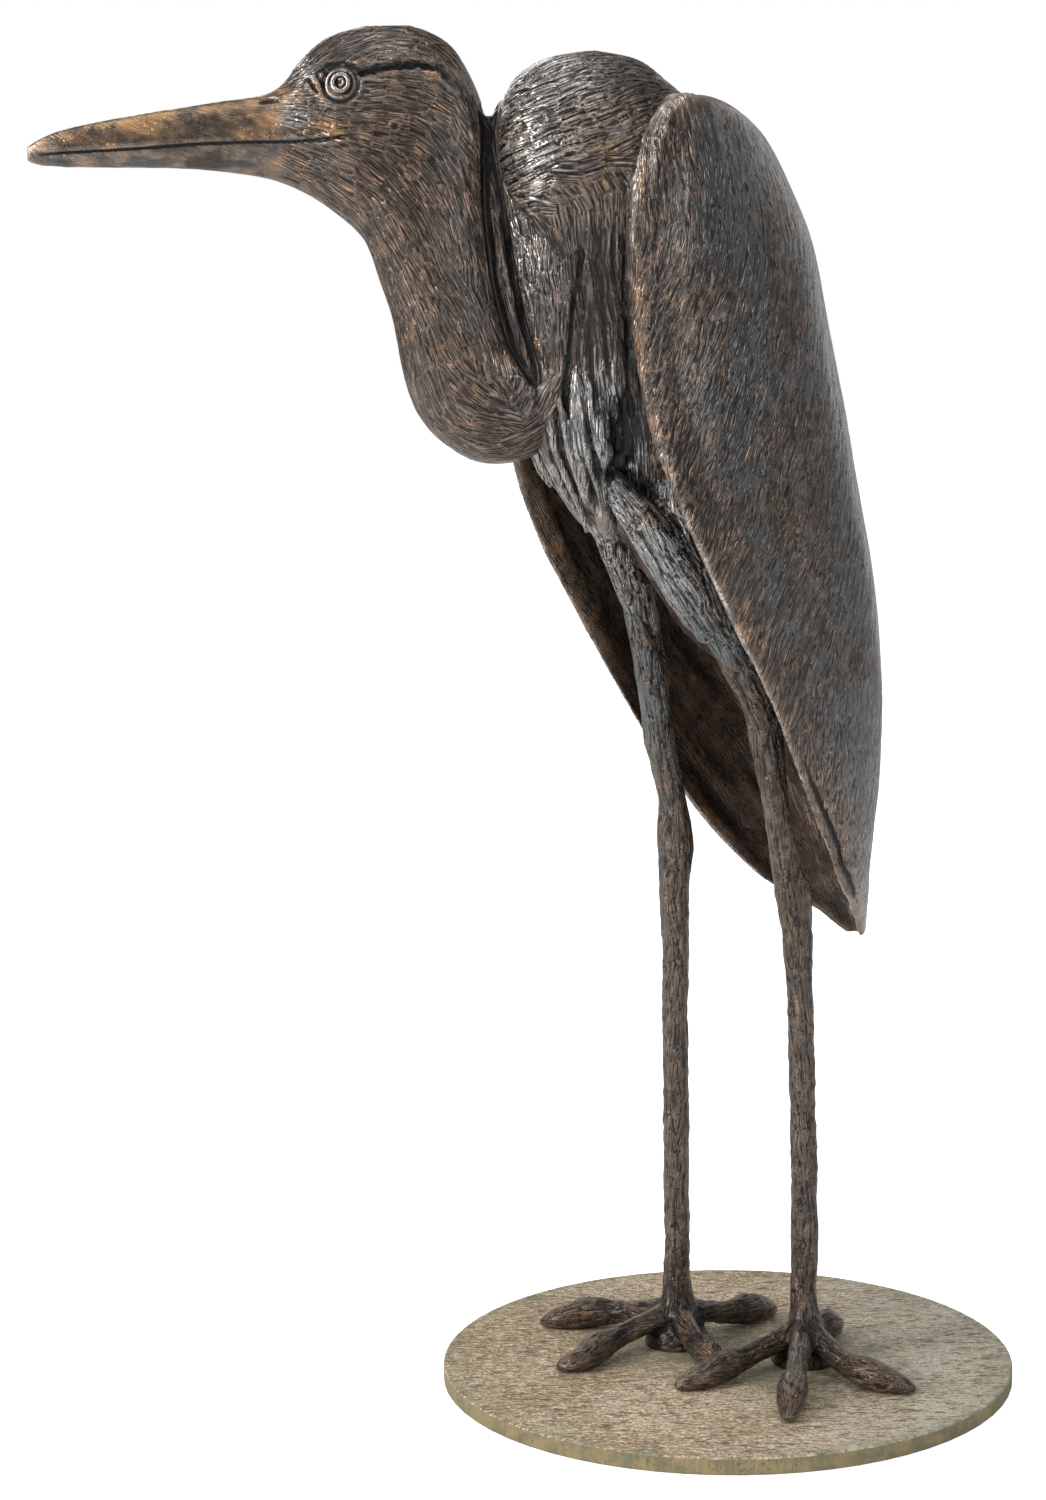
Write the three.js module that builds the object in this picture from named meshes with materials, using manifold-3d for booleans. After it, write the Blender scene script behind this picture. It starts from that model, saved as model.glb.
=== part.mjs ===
// A hunched heron in cast bronze, standing on a round base plate, at its real size.
// Millimetres, +Z up. The origin is the centre of the plate's underside. The bird faces -Y,
// its left is +X, and its neck and head are turned to its right.
import * as THREE from "three";
import { mergeVertices } from "three/addons/utils/BufferGeometryUtils.js";
import Module from "manifold-3d";

const wasm = await Module();
wasm.setup();

// Driving dimensions
const PLATE_RADIUS = 200;
const PLATE_THICKNESS = 12;
const PLATE_SIDES = 64;
const PLATE_CHAMFER = 1;
const FOOT_GAP = 0.3; // clearance between the toes and the plate
const FLOOR = PLATE_THICKNESS + FOOT_GAP;
const HUMP_TOP = 917;
const TAIL_TIP = 293;
const STAND = [-3.5, 3.5, 0]; // where the bird stands on the plate
const LEAN = THREE.MathUtils.degToRad(0.67); // the cast leans a touch to its left and rear
const NECK_TURN = THREE.MathUtils.degToRad(45);
const NECK_ROOT_Y = -142; // the neck leaves the shoulders this far in front of the plate's centre
const BILL_REACH = 362; // from the neck's root to the bill tip, in the neck's own plane
const WING_RIM = 6; // thickness of a wing at its lower edge
const WING_SHOULDER = 16; // and at the shoulder
const TARSUS_RADIUS = 9.2;
const TOE_RADIUS = 10;
const EYE = { forward: 160, height: 896.5, ring: 8.4, wire: 1.9, ball: 5.6, tilt: 0.15, squint: 0.3 };

// Turns a closed geometry into a solid.
function solid(geometry) {
  const bare = geometry.clone();
  bare.deleteAttribute("normal");
  bare.deleteAttribute("uv");
  const merged = mergeVertices(bare, 1e-4);
  return new wasm.Manifold(
    new wasm.Mesh({
      numProp: 3,
      vertProperties: merged.attributes.position.array,
      triVerts: new Uint32Array(merged.index.array),
    }),
  );
}

// Turns a solid back into a geometry with flat facets.
function geometryOf(shape) {
  const mesh = shape.getMesh();
  const made = new THREE.BufferGeometry();
  made.setAttribute("position", new THREE.BufferAttribute(mesh.vertProperties, mesh.numProp));
  made.setIndex(new THREE.BufferAttribute(mesh.triVerts, 1));
  const facets = made.toNonIndexed();
  facets.computeVertexNormals();
  return facets;
}

// A closed skin over rings of equally many points. `capped` closes each end on its own outline,
// for a shape that is hollow across; otherwise each end closes on its middle.
function skin(rings, capped = false) {
  const count = rings[0].length;
  const last = (rings.length - 1) * count;
  const points = rings.flat();
  const faces = [];
  for (let row = 0; row + 1 < rings.length; row++) {
    for (let i = 0; i < count; i++) {
      const a = row * count + i;
      const b = row * count + ((i + 1) % count);
      faces.push(a, b, b + count, a, b + count, a + count);
    }
  }
  if (capped) {
    for (const [start, ring] of [[0, rings[0]], [last, rings.at(-1)]]) {
      const outline = ring.map((p) => new THREE.Vector2(p.x, p.y));
      for (const [a, b, c] of THREE.ShapeUtils.triangulateShape(outline, [])) {
        faces.push(...(start === 0 ? [a, c, b] : [start + a, start + b, start + c]));
      }
    }
  } else {
    for (const [start, ring] of [[0, rings[0]], [last, rings.at(-1)]]) {
      const middle = ring.reduce((sum, p) => sum.add(p), new THREE.Vector3()).divideScalar(count);
      points.push(middle);
      for (let i = 0; i < count; i++) {
        const pair = [start + i, start + ((i + 1) % count)];
        faces.push(points.length - 1, ...(start === 0 ? pair.reverse() : pair));
      }
    }
  }
  const made = new THREE.BufferGeometry().setFromPoints(points);
  made.setIndex(faces);
  return facingOut(made);
}

// Turns a geometry's faces round if they point inwards.
function facingOut(geometry) {
  const at = geometry.attributes.position;
  const index = geometry.index.array;
  const [a, b, c] = [new THREE.Vector3(), new THREE.Vector3(), new THREE.Vector3()];
  let volume = 0;
  for (let i = 0; i < index.length; i += 3) {
    a.fromBufferAttribute(at, index[i]);
    b.fromBufferAttribute(at, index[i + 1]);
    c.fromBufferAttribute(at, index[i + 2]);
    volume += a.dot(b.cross(c));
  }
  if (volume < 0) {
    for (let i = 0; i < index.length; i += 3) {
      [index[i + 1], index[i + 2]] = [index[i + 2], index[i + 1]];
    }
  }
  return geometry;
}

// A smooth curve through rows of three numbers.
function through(rows) {
  return new THREE.CatmullRomCurve3(rows.map((row) => new THREE.Vector3(...row)), false, "catmullrom");
}

// A closed form in parallel sections [along, low, high, half-width], each one an oval.
// `place(along, level, side)` stands a point of a section where it belongs.
function slices(stations, place, { sides, steps, flute }) {
  const spans = through(stations.map(([along, low, high]) => [along, low, high]));
  const widths = through(stations.map(([along, , , half]) => [along, half, 0]));
  const rings = [];
  for (let step = 0; step <= steps; step++) {
    const { x: along, y: low, z: high } = spans.getPoint(step / steps);
    const half = Math.max(widths.getPoint(step / steps).y, 0.5);
    const ring = [];
    for (let i = 0; i < sides; i++) {
      const angle = (2 * Math.PI * (i + 0.5)) / sides;
      const scale = flute ? flute(angle) : 1;
      const level = (low + high) / 2 + ((high - low) / 2) * scale * Math.sin(angle);
      ring.push(place(along, level, half * scale * Math.cos(angle)));
    }
    rings.push(ring);
  }
  return solid(skin(rings));
}

// A closed form swept along a path of stations [x, y, z, half-width, half-depth]. The width lies
// towards `across`, square to the path.
function sweep(stations, { sides, steps, across = [1, 0, 0] }) {
  const path = through(stations.map((s) => s.slice(0, 3)));
  const sizes = through(stations.map(([, , , wide, deep = wide]) => [wide, deep, 0]));
  const rings = [];
  for (let step = 0; step <= steps; step++) {
    const centre = path.getPoint(step / steps);
    const size = sizes.getPoint(step / steps);
    const tangent = path.getTangent(step / steps);
    const side = new THREE.Vector3(...across);
    side.addScaledVector(tangent, -tangent.dot(side)).normalize();
    const front = new THREE.Vector3().crossVectors(tangent, side);
    const ring = [];
    for (let i = 0; i < sides; i++) {
      const angle = (2 * Math.PI * i) / sides;
      const point = centre.clone().addScaledVector(side, size.x * Math.cos(angle));
      ring.push(point.addScaledVector(front, size.y * Math.sin(angle)));
    }
    rings.push(ring);
  }
  return skin(rings);
}

// Joins solids into one.
function join(...shapes) {
  return shapes.reduce((sum, shape) => sum.add(shape));
}

// The trunk in level sections [z, front y, back y, half-width]: the rounded hump of the
// shoulders, the mantle between the wings, the breast and the belly.
const TRUNK = [
  [HUMP_TOP, -146, -140, 3],
  [911, -176, -110, 29],
  [896, -196, -90, 48],
  [872, -207, -45, 60],
  [840, -206, 2, 64],
  [800, -190, 32, 70],
  [750, -174, 45, 74],
  [700, -164, 55, 74],
  [650, -142, 62, 64],
  [600, -98, 70, 50],
  [560, -64, 72, 42],
  [528, -36, 64, 34],
  [508, -8, 52, 22],
  [499, 14, 32, 4],
];
function trunk() {
  return slices(TRUNK, (z, y, x) => new THREE.Vector3(x, y, z), { sides: 20, steps: 17 });
}

// Stands a point in the neck's turned plane: so far forward, so high, so far to its left.
function onNeck(forward, height, left) {
  return new THREE.Vector3(left, -forward, height)
    .applyAxisAngle(new THREE.Vector3(0, 0, 1), -NECK_TURN)
    .add(new THREE.Vector3(0, NECK_ROOT_Y, 0));
}

// The neck is folded on itself. One limb comes down from the shoulders, and the other rises
// to the head; both in level sections [z, rear, front, half-width].
const NECK_FALL = [
  [892, -20, 52, 26],
  [880, -34, 62.5, 40],
  [860, -44, 66, 46],
  [835, -44, 65, 44],
  [800, -34, 62, 40],
  [770, -20, 57.5, 36],
  [740, -8, 51, 33],
  [715, 2, 46, 30],
  [690, 10, 48, 25],
  [672, 22, 46, 15],
  [664, 32, 40, 3],
];
const NECK_RISE = [
  [653, 55, 69, 4],
  [656, 42, 79, 15],
  [663, 30, 91, 23],
  [673, 22, 103, 28],
  [686, 17, 112.5, 31],
  [702, 18, 119, 33],
  [716, 30, 122.5, 34],
  [730, 44, 125, 34],
  [750, 52, 129, 34],
  [770, 57, 136, 33.5],
  [790, 60, 142.5, 33],
  [810, 61.5, 152, 32.5],
  [830, 62, 158, 31],
  [850, 64, 146, 28],
  [874, 78, 120, 12],
];
function neck() {
  const level = (z, forward, left) => onNeck(forward, z, left);
  const fall = slices(NECK_FALL, level, { sides: 14, steps: 9 });
  const rise = slices(NECK_RISE, level, { sides: 16, steps: 16 });
  return join(fall, rise);
}

// Skull and bill in one, in upright sections [forward, underside, top, half-width].
const HEAD = [
  [64.5, 847, 865.5, 6],
  [68, 833, 876.5, 14],
  [76, 819, 897.5, 21],
  [88, 807, 918, 26],
  [103, 798, 928.5, 28.5],
  [122, 793, 934.1, 30],
  [140, 793, 933.5, 29.5],
  [153, 805, 930.7, 28],
  [164, 814, 927.5, 25.5],
  [174, 821, 922.5, 22],
  [186, 828, 911.5, 18.5],
  [198, 833, 896.5, 15.5],
  [211, 836.8, 889.3, 13.5],
  [237, 840.6, 885.5, 11],
  [263, 842.6, 881.5, 9.4],
  [289, 843, 877.3, 8],
  [314, 843.2, 872.9, 6.8],
  [340, 843.6, 867.2, 5.2],
  [354, 844.6, 861.5, 3.6],
  [BILL_REACH, 847, 857, 1.6],
];
function head() {
  return slices(HEAD, onNeck, { sides: 16, steps: 24 });
}

// How far the side of the head stands from its middle plane.
function sideOfHead(forward, height) {
  const after = HEAD.findIndex(([along]) => along > forward);
  const [before, next] = [HEAD[after - 1], HEAD[after]];
  const share = (forward - before[0]) / (next[0] - before[0]);
  const [low, high, half] = [1, 2, 3].map((k) => THREE.MathUtils.lerp(before[k], next[k], share));
  const rise = (2 * height - low - high) / (high - low);
  return half * Math.sqrt(Math.max(0, 1 - rise * rise));
}

// A thin wire over the side of the head through points [forward, height], to cut or to add.
function headWire(points, hand, radius, depth = 0) {
  const stations = points.map(([forward, height], i) => {
    const left = hand * (sideOfHead(forward, height) - depth);
    const thin = i === 0 || i === points.length - 1 ? 0.4 : 1;
    return [...onNeck(forward, height, left).toArray(), radius * thin];
  });
  return solid(sweep(stations, { sides: 4, steps: points.length + 2, across: [0.3, 0.3, 0.9] }));
}
const MOUTH = [[352, 852], [322, 853.5], [294, 855.1], [251, 858.3], [222, 859.5], [193, 859.8], [170, 861.5], [149, 864.8]];
const CREST = [[150.6, 901.9], [140, 905], [129.5, 906.7], [110.3, 908.5], [96.3, 905.4], [83.8, 893.1], [77.5, 883]];
const NOSTRIL = [[214, 884.1], [206.5, 885.1], [199, 885.9]];

// The round eye in its ring, on the side of the head that `hand` says.
function eye(hand) {
  const side = sideOfHead(EYE.forward, EYE.height);
  const ring = new THREE.TorusGeometry(EYE.ring, EYE.wire, 5, 14);
  const ball = new THREE.SphereGeometry(EYE.ball, 8, 5).scale(1, 1, 0.55);
  const placed = [ring, ball].map((geometry) => {
    geometry.rotateY(Math.PI / 2 - hand * EYE.tilt).rotateZ(-hand * EYE.squint);
    geometry.translate(hand * side, -EYE.forward, EYE.height);
    return solid(geometry.rotateZ(-NECK_TURN).translate(0, NECK_ROOT_Y, 0));
  });
  return join(...placed);
}

// One wing: a curved shell from its front rim round to the middle of the back. Each station is
// [z, rim x, rim y, near side, far side, back y, rear x], the corners of its level section.
const WINGS = [
  [889, 60, -122, 64, 52, -98, 54],
  [887, 60, -128, 68, 60, -84, 50],
  [879, 60, -142, 76, 62, -55, 41],
  [862, 60, -154, 91, 48, -12, 27],
  [830, 60, -161, 100, 60, 18, 16],
  [790, 60, -162, 105, 78, 40, 8],
  [730, 60, -155, 107, 96, 54, 0],
  [670, 68, -149, 98, 113, 69, -3],
  [610, 74, -123, 89, 122, 82, -4],
  [550, 75, -84, 82, 125, 93, -4],
  [490, 73, -42, 85, 108, 103, -4],
  [430, 65, -1, 88, 74, 114, -3],
  [380, 54, 38, 77, 38, 125, -3],
  [340, 38, 75, 56, 14, 134, -3],
  [314, 19, 110, 27, 9, 139, -3],
  [301, 10, 124, 14, 8, 141, -3],
  [TAIL_TIP, 6, 132, 7, 4, 142, -3],
];
function wing(lap) {
  const STEPS = 21;
  const ACROSS = 11;
  const corner = (pick) => through(WINGS.map(pick));
  const corners = [
    corner(([z, x, y]) => [x, y, z]),
    corner(([z, , y, near, , back]) => [near, y + 0.28 * (back - y), z]),
    corner(([z, , , , far, back]) => [far, back, z]),
    corner(([z, , , , , back, x]) => [x, back + lap, z]),
  ];
  const rings = [];
  for (let step = 0; step <= STEPS; step++) {
    const placed = corners.map((c) => c.getPoint(step / STEPS));
    const z = placed[0].z;
    const curve = new THREE.CubicBezierCurve(...placed.map((p) => new THREE.Vector2(p.x, p.y)));
    const share = THREE.MathUtils.smoothstep(z, 560, 830) * Math.min(1, 0.3 + step / 3);
    const thickness = Math.min(1, 0.25 + (STEPS - step) / 3) * THREE.MathUtils.lerp(WING_RIM, WING_SHOULDER, share);
    const outer = curve.getPoints(ACROSS);
    const inner = outer.map((p, i) => {
      const tangent = curve.getTangent(i / ACROSS);
      return new THREE.Vector2(p.x - thickness * tangent.y, p.y + thickness * tangent.x);
    });
    const nose = outer[0].clone().lerp(inner[0], 0.5).addScaledVector(curve.getTangent(0), -0.4 * thickness);
    rings.push([nose, ...outer, ...inner.reverse()].map((p) => new THREE.Vector3(p.x, p.y, z)));
  }
  return solid(skin(rings, true));
}

// The tuft of long breast feathers that hangs under the neck's bend, in level sections.
const BREAST_TUFT = [
  [735, -164, -124, 22],
  [715, -173, -126, 30],
  [690, -175, -128, 35],
  [668, -172, -126, 36],
  [648, -163, -124, 34],
  [628, -151, -120, 26],
  [612, -140, -116, 17],
  [603, -132, -118, 7],
];
function breastTuft() {
  const place = (z, y, x) => new THREE.Vector3(x - 9, y, z);
  const flute = (angle) => 1 + 0.06 * Math.cos(8 * angle);
  return slices(BREAST_TUFT, place, { sides: 24, steps: 7, flute });
}

// The long nape plume lies in the groove between the neck and the shoulders.
const NAPE_PLUME = [
  [66, 866, 5, 4],
  [65, 845, 6, 5],
  [62, 815, 8, 5.5],
  [59, 780, 9, 5.5],
  [53, 748, 11, 5],
  [44, 722, 12, 4],
  [40, 706, 13, 2],
];
function napePlume() {
  const stations = NAPE_PLUME.map(([f, z, left, r]) => [...onNeck(f, z, left).toArray(), r]);
  return solid(sweep(stations, { sides: 6, steps: 7 }));
}

// A leg from the feathered thigh in the belly, by the ankle's knob, to the root of the toes.
function leg(stations) {
  return solid(sweep(stations, { sides: 8, steps: 19 }));
}
const LEFT_LEG = [
  [30, -72, 668, 16, 20],
  [37, -94, 640, 20, 22],
  [42, -95, 612, 19, 21],
  [46, -85, 586, 17.5, 19.5],
  [47.5, -72, 560, 16.5, 18],
  [47, -49, 525, 14, 15.5],
  [42, -21, 488, 12, 13],
  [34, -2.5, 450, 10.9],
  [33.5, 6.2, 414, 9.3],
  [34.5, 15.1, 378, 9.4],
  [36, 23.7, 345, 12.4],
  [37, 27, 318, 11],
  [38, 30, 275, TARSUS_RADIUS],
  [43, 30.5, 160, TARSUS_RADIUS],
  [46.5, 29, 66, TARSUS_RADIUS],
  [48, 28.5, 44, 12],
  [48, 28.5, 28, 15],
];
const RIGHT_LEG = [
  [-22, -60, 656, 16, 22],
  [-31, -89, 622, 13, 17],
  [-35, -80, 592, 10.5, 13],
  [-38, -55, 551, 10, 12],
  [-40.5, -42.5, 515, 9.6, 11],
  [-43, -32.5, 480, 9.6],
  [-45, -24, 446, 10],
  [-44, -13, 407, 10],
  [-45, -8, 372, 12.8],
  [-45, -9, 345, 11],
  [-44, -9, 305, TARSUS_RADIUS],
  [-44, -7, 190, TARSUS_RADIUS],
  [-43, -5.7, 73, TARSUS_RADIUS],
  [-43.5, -4, 46, 12],
  [-43.5, -4, 28, 15],
];

// The top of the left thigh, a broad fold of feathers that runs in under the tuft.
const LEFT_THIGH = [
  [18, -139, 641, 5, 6],
  [26, -131, 628, 11, 11],
  [35, -119, 608, 15, 14],
  [41, -104, 586, 16.5, 16],
  [44, -87, 563, 15, 15],
  [46, -70, 540, 12, 13],
];
function leftThigh() {
  return solid(sweep(LEFT_THIGH, { sides: 6, steps: 5 }));
}

// A toe from the root of the foot to its claw, through [x, y] points seen from above.
function toe(points) {
  const flat = new THREE.CatmullRomCurve3(points.map(([x, y]) => new THREE.Vector3(x, y, 0)));
  const r = TOE_RADIUS;
  const along = [
    [0, 24, 1, 1],
    [0.28, 17, 0.85, 0.8],
    [0.48, 12, 0.8, 0.85],
    [0.66, 11, 1.1, 1.1],
    [0.82, 8.5, 0.9, 0.9],
    [0.94, 4.5, 0.5, 0.5],
    [1, 1.5, 0.15, 0.2],
  ];
  const stations = along.map(([share, z, wide, deep]) => {
    const at = flat.getPointAt(share);
    return [at.x, at.y, FLOOR + z, wide * r, deep * r];
  });
  const heading = flat.getPointAt(1).sub(flat.getPointAt(0)).normalize();
  return solid(sweep(stations, { sides: 7, steps: 8, across: [-heading.y, heading.x, 0] }));
}

// Three toes ahead and one behind on each foot.
const LEFT_ROOT = [48, 28.5];
const LEFT_FOOT = [
  [LEFT_ROOT, [38.4, -21], [35.2, -61], [25.4, -81.3]],
  [LEFT_ROOT, [89.5, -30], [116, -65.6], [125, -78.2]],
  [LEFT_ROOT, [105.8, 13.4], [136, 17.7], [148.7, 28]],
  [LEFT_ROOT, [36, 52], [28.5, 78], [22, 94]],
];
const RIGHT_ROOT = [-43.5, -4];
const RIGHT_FOOT = [
  [RIGHT_ROOT, [-98.6, -12], [-119.6, -34], [-139.7, -46]],
  [RIGHT_ROOT, [-55.6, -53.4], [-51.2, -92.8], [-62, -109.1]],
  [RIGHT_ROOT, [-4.2, -25.6], [14, -30], [32, -40]],
  [RIGHT_ROOT, [-34, 60], [-34.7, 91.5]],
];

// A low cushion of metal fills the arch under the root of the toes.
function cushion([x, y]) {
  return solid(new THREE.SphereGeometry(24, 12, 6).scale(1, 1, 0.8).translate(x, y, FLOOR));
}

function heron() {
  const wings = [wing(3), wing(0).mirror([1, 0, 0])];
  let cast = join(trunk(), neck(), head(), breastTuft(), ...wings, leg(LEFT_LEG), leg(RIGHT_LEG), leftThigh());
  for (const hand of [1, -1]) {
    cast = cast.subtract(headWire(MOUTH, hand, 1.6));
    cast = cast.subtract(headWire(CREST, hand, 2.2));
    cast = cast.subtract(headWire(NOSTRIL, hand, 1.6));
  }
  const towards = new THREE.Vector3(-1, 1, 0).normalize();
  const leaning = new THREE.Matrix4().makeRotationAxis(towards, LEAN);
  cast = join(cast, eye(1), eye(-1), napePlume()).transform(leaning.elements);
  const feet = [...LEFT_FOOT, ...RIGHT_FOOT].map(toe);
  cast = join(cast, ...feet, cushion(LEFT_ROOT), cushion(RIGHT_ROOT)).translate(STAND);
  const underfoot = solid(new THREE.BoxGeometry(600, 600, FLOOR * 2));
  return geometryOf(cast.subtract(underfoot));
}

function basePlate() {
  const profile = [
    [0, 0],
    [PLATE_RADIUS - PLATE_CHAMFER, 0],
    [PLATE_RADIUS, PLATE_CHAMFER],
    [PLATE_RADIUS, PLATE_THICKNESS - PLATE_CHAMFER],
    [PLATE_RADIUS - PLATE_CHAMFER, PLATE_THICKNESS],
    [0, PLATE_THICKNESS],
  ];
  const turned = new THREE.LatheGeometry(profile.map((p) => new THREE.Vector2(...p)), PLATE_SIDES);
  return turned.rotateX(Math.PI / 2);
}

const bronze = new THREE.MeshStandardMaterial({ color: 0x3b2d24, roughness: 0.45, metalness: 0.8 });
const weathered = new THREE.MeshStandardMaterial({ color: 0x7a6f58, roughness: 0.75, metalness: 0.4 });

const sculpture = new THREE.Group();
for (const [name, geometry, material] of [
  ["heron", heron(), bronze],
  ["base_plate", basePlate(), weathered],
]) {
  const mesh = new THREE.Mesh(geometry, material);
  mesh.name = name;
  sculpture.add(mesh);
}

export default sculpture;
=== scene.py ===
# %% [markdown]
# # A hunched heron in cast bronze, on its round plate
# The real thing is a garden sculpture nearly a metre tall. It was modelled by hand in clay or wax,
# cast in bronze, given a dark patina with chemicals and heat, and waxed. Its looks come from three
# things: the big calm forms, the thousands of combed tool strokes that stand for feathers, and the
# metal, dark in the grooves and rubbed bright and coppery on the ridges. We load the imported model
# first, because every form here has to lie where its solid lies.

import itertools
import math

import bpy
import numpy as np
from mathutils import Matrix, Vector


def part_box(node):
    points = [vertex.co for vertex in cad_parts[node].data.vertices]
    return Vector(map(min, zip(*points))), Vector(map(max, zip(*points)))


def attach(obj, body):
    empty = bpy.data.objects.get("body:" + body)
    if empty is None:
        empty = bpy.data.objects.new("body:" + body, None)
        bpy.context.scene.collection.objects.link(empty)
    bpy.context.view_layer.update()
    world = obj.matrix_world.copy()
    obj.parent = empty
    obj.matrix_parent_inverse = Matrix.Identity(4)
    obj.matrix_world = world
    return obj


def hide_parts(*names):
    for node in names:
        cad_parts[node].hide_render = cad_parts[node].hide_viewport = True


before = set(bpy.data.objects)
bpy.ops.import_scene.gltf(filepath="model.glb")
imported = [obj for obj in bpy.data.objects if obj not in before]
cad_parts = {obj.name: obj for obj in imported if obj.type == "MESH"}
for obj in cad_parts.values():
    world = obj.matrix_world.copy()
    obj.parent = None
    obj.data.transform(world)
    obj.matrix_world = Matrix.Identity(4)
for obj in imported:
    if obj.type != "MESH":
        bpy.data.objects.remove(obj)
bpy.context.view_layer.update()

# %% [markdown]
# ## The camera
# The photograph was taken from the bird's front left, a little above, with a long lens. A long lens
# keeps the near and far foot almost the same size. The small roll matches the lean of the picture.

# %% Place the camera
CAMERA_PLACE = (1.692925, -1.889224, 0.891513)  # metres
CAMERA_YAW = math.radians(45)
CAMERA_PITCH = math.radians(9.9204)  # looking down
CAMERA_ROLL = math.radians(-0.673)
LENS = 90  # millimetres, for a 36 mm sensor along the picture's long side


def make_camera():
    data = bpy.data.cameras.new("camera")
    data.lens = LENS
    data.sensor_width = 36
    camera = bpy.data.objects.new("camera", data)
    bpy.context.scene.collection.objects.link(camera)
    turn = Matrix.Rotation(CAMERA_YAW, 4, "Z") @ Matrix.Rotation(math.pi / 2 - CAMERA_PITCH, 4, "X")
    camera.matrix_world = Matrix.Translation(CAMERA_PLACE) @ turn @ Matrix.Rotation(CAMERA_ROLL, 4, "Z")
    bpy.context.scene.camera = camera
    return camera


print("camera at", [round(v, 3) for v in make_camera().matrix_world.translation])

# %% [markdown]
# ## How the bird stands
# We model the bird upright, in millimetres, and lean it at the end, because a cast that leans a
# touch is easier to carve while it stands straight. The neck and head have a frame of their own,
# turned to the bird's right, so that a brow or a nostril can be given as seen in profile.

# %% Frames of the body and the neck
STAND = np.array([-3.5, 3.5, 0.0])  # where the bird stands on the plate
LEAN = math.radians(0.67)
NECK_TURN = math.radians(45)  # to the bird's right
NECK_ROOT_Y = -142
FLOOR = 12.3  # the toes' undersides, a hair above the plate
HALF_ROOT = math.cos(NECK_TURN)  # both the cosine and the sine of that turn


def settle(points):
    """Leans the upright body and stands it on the plate, still in millimetres."""
    axis = np.array([-HALF_ROOT, HALF_ROOT, 0])
    points = np.asarray(points, float)
    along = (points @ axis)[:, None] * axis
    return along + (points - along) * math.cos(LEAN) + np.cross(axis, points) * math.sin(LEAN) + STAND


def on_neck(forward, height, left):
    """Stands profile points in the neck's turned plane."""
    forward, height, left = np.broadcast_arrays(forward, height, left)
    x = HALF_ROOT * (left - forward)
    return np.stack([x, NECK_ROOT_Y - HALF_ROOT * (left + forward), height], -1)


def in_profile(points):
    """The reverse: how far forward, how high and how far left each point is on the neck."""
    x, y = points[:, 0], points[:, 1] - NECK_ROOT_Y
    return np.stack([-HALF_ROOT * (x + y), points[:, 2], HALF_ROOT * (x - y)], -1)


check = in_profile(on_neck(np.array([100.0]), np.array([900.0]), np.array([20.0])))
print("neck frame there and back:", check.round(3))

# %% [markdown]
# ## Forms from stations
# A sculptor's armature is a row of cross-sections. Each form here is the same: a table of stations
# with a smooth curve through them. The tables are those of the solids, so both agree, and only the
# number of points around and along is higher.

# %% Curves and closed skins
LEAST_HALF = 0.5  # no oval section is narrower, in millimetres from its middle
LEAST_RADIUS = 0.2  # and no round one thinner


def through(rows, shares):
    """Points on the smooth curve through rows, at shares from 0 to 1, and its direction there."""
    rows = np.asarray(rows, float)
    spread = np.clip(np.asarray(shares, float), 0, 1) * (len(rows) - 1)
    first = np.minimum(spread.astype(int), len(rows) - 2)
    part = (spread - first)[:, None]
    ends = np.vstack([2 * rows[0] - rows[1], rows, 2 * rows[-1] - rows[-2]])
    before, start, end, after = (ends[first + k] for k in range(4))
    leave, arrive = (end - before) / 2, (after - start) / 2
    square = 3 * (end - start) - 2 * leave - arrive
    cube = 2 * (start - end) + leave + arrive
    place = start + part * (leave + part * (square + part * cube))
    return place, leave + part * (2 * square + part * 3 * cube)


def closed(points, faces):
    """A closed skin of triangles, turned so that it faces outwards."""
    a, b, c = (points[faces[:, k]] for k in range(3))
    if np.einsum("ij,ij->i", a, np.cross(b, c)).sum() < 0:
        faces = faces[:, ::-1]
    return points, faces


def skin(rings):
    """Closes a stack of rings, each end on its own middle."""
    rows, count, _ = rings.shape
    grid = np.arange(rows * count).reshape(rows, count)
    a, b = grid[:-1], np.roll(grid, -1, axis=1)[:-1]
    c, d = np.roll(grid, -1, axis=1)[1:], grid[1:]
    faces = [np.stack(trio, -1).reshape(-1, 3) for trio in ((a, b, c), (a, c, d))]
    points = np.vstack([rings.reshape(-1, 3), rings[0].mean(0), rings[-1].mean(0)])
    for middle, ring, back in ((rows * count, grid[0], True), (rows * count + 1, grid[-1], False)):
        pair = (np.roll(ring, -1), ring) if back else (ring, np.roll(ring, -1))
        faces.append(np.stack([np.full(count, middle), *pair], -1))
    return closed(points, np.vstack(faces))


def slices(stations, place, sides=72, steps=150):
    """Parallel oval sections [along, low, high, half-width]; place() stands a point of one."""
    (along, low, high, half), _ = [v.T for v in through(stations, np.linspace(0, 1, steps + 1))]
    angle = 2 * np.pi * (np.arange(sides) + 0.5) / sides
    level = ((low + high) / 2)[:, None] + ((high - low) / 2)[:, None] * np.sin(angle)
    side = np.maximum(half, LEAST_HALF)[:, None] * np.cos(angle)
    return skin(place(np.broadcast_to(along[:, None], level.shape), level, side))


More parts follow.
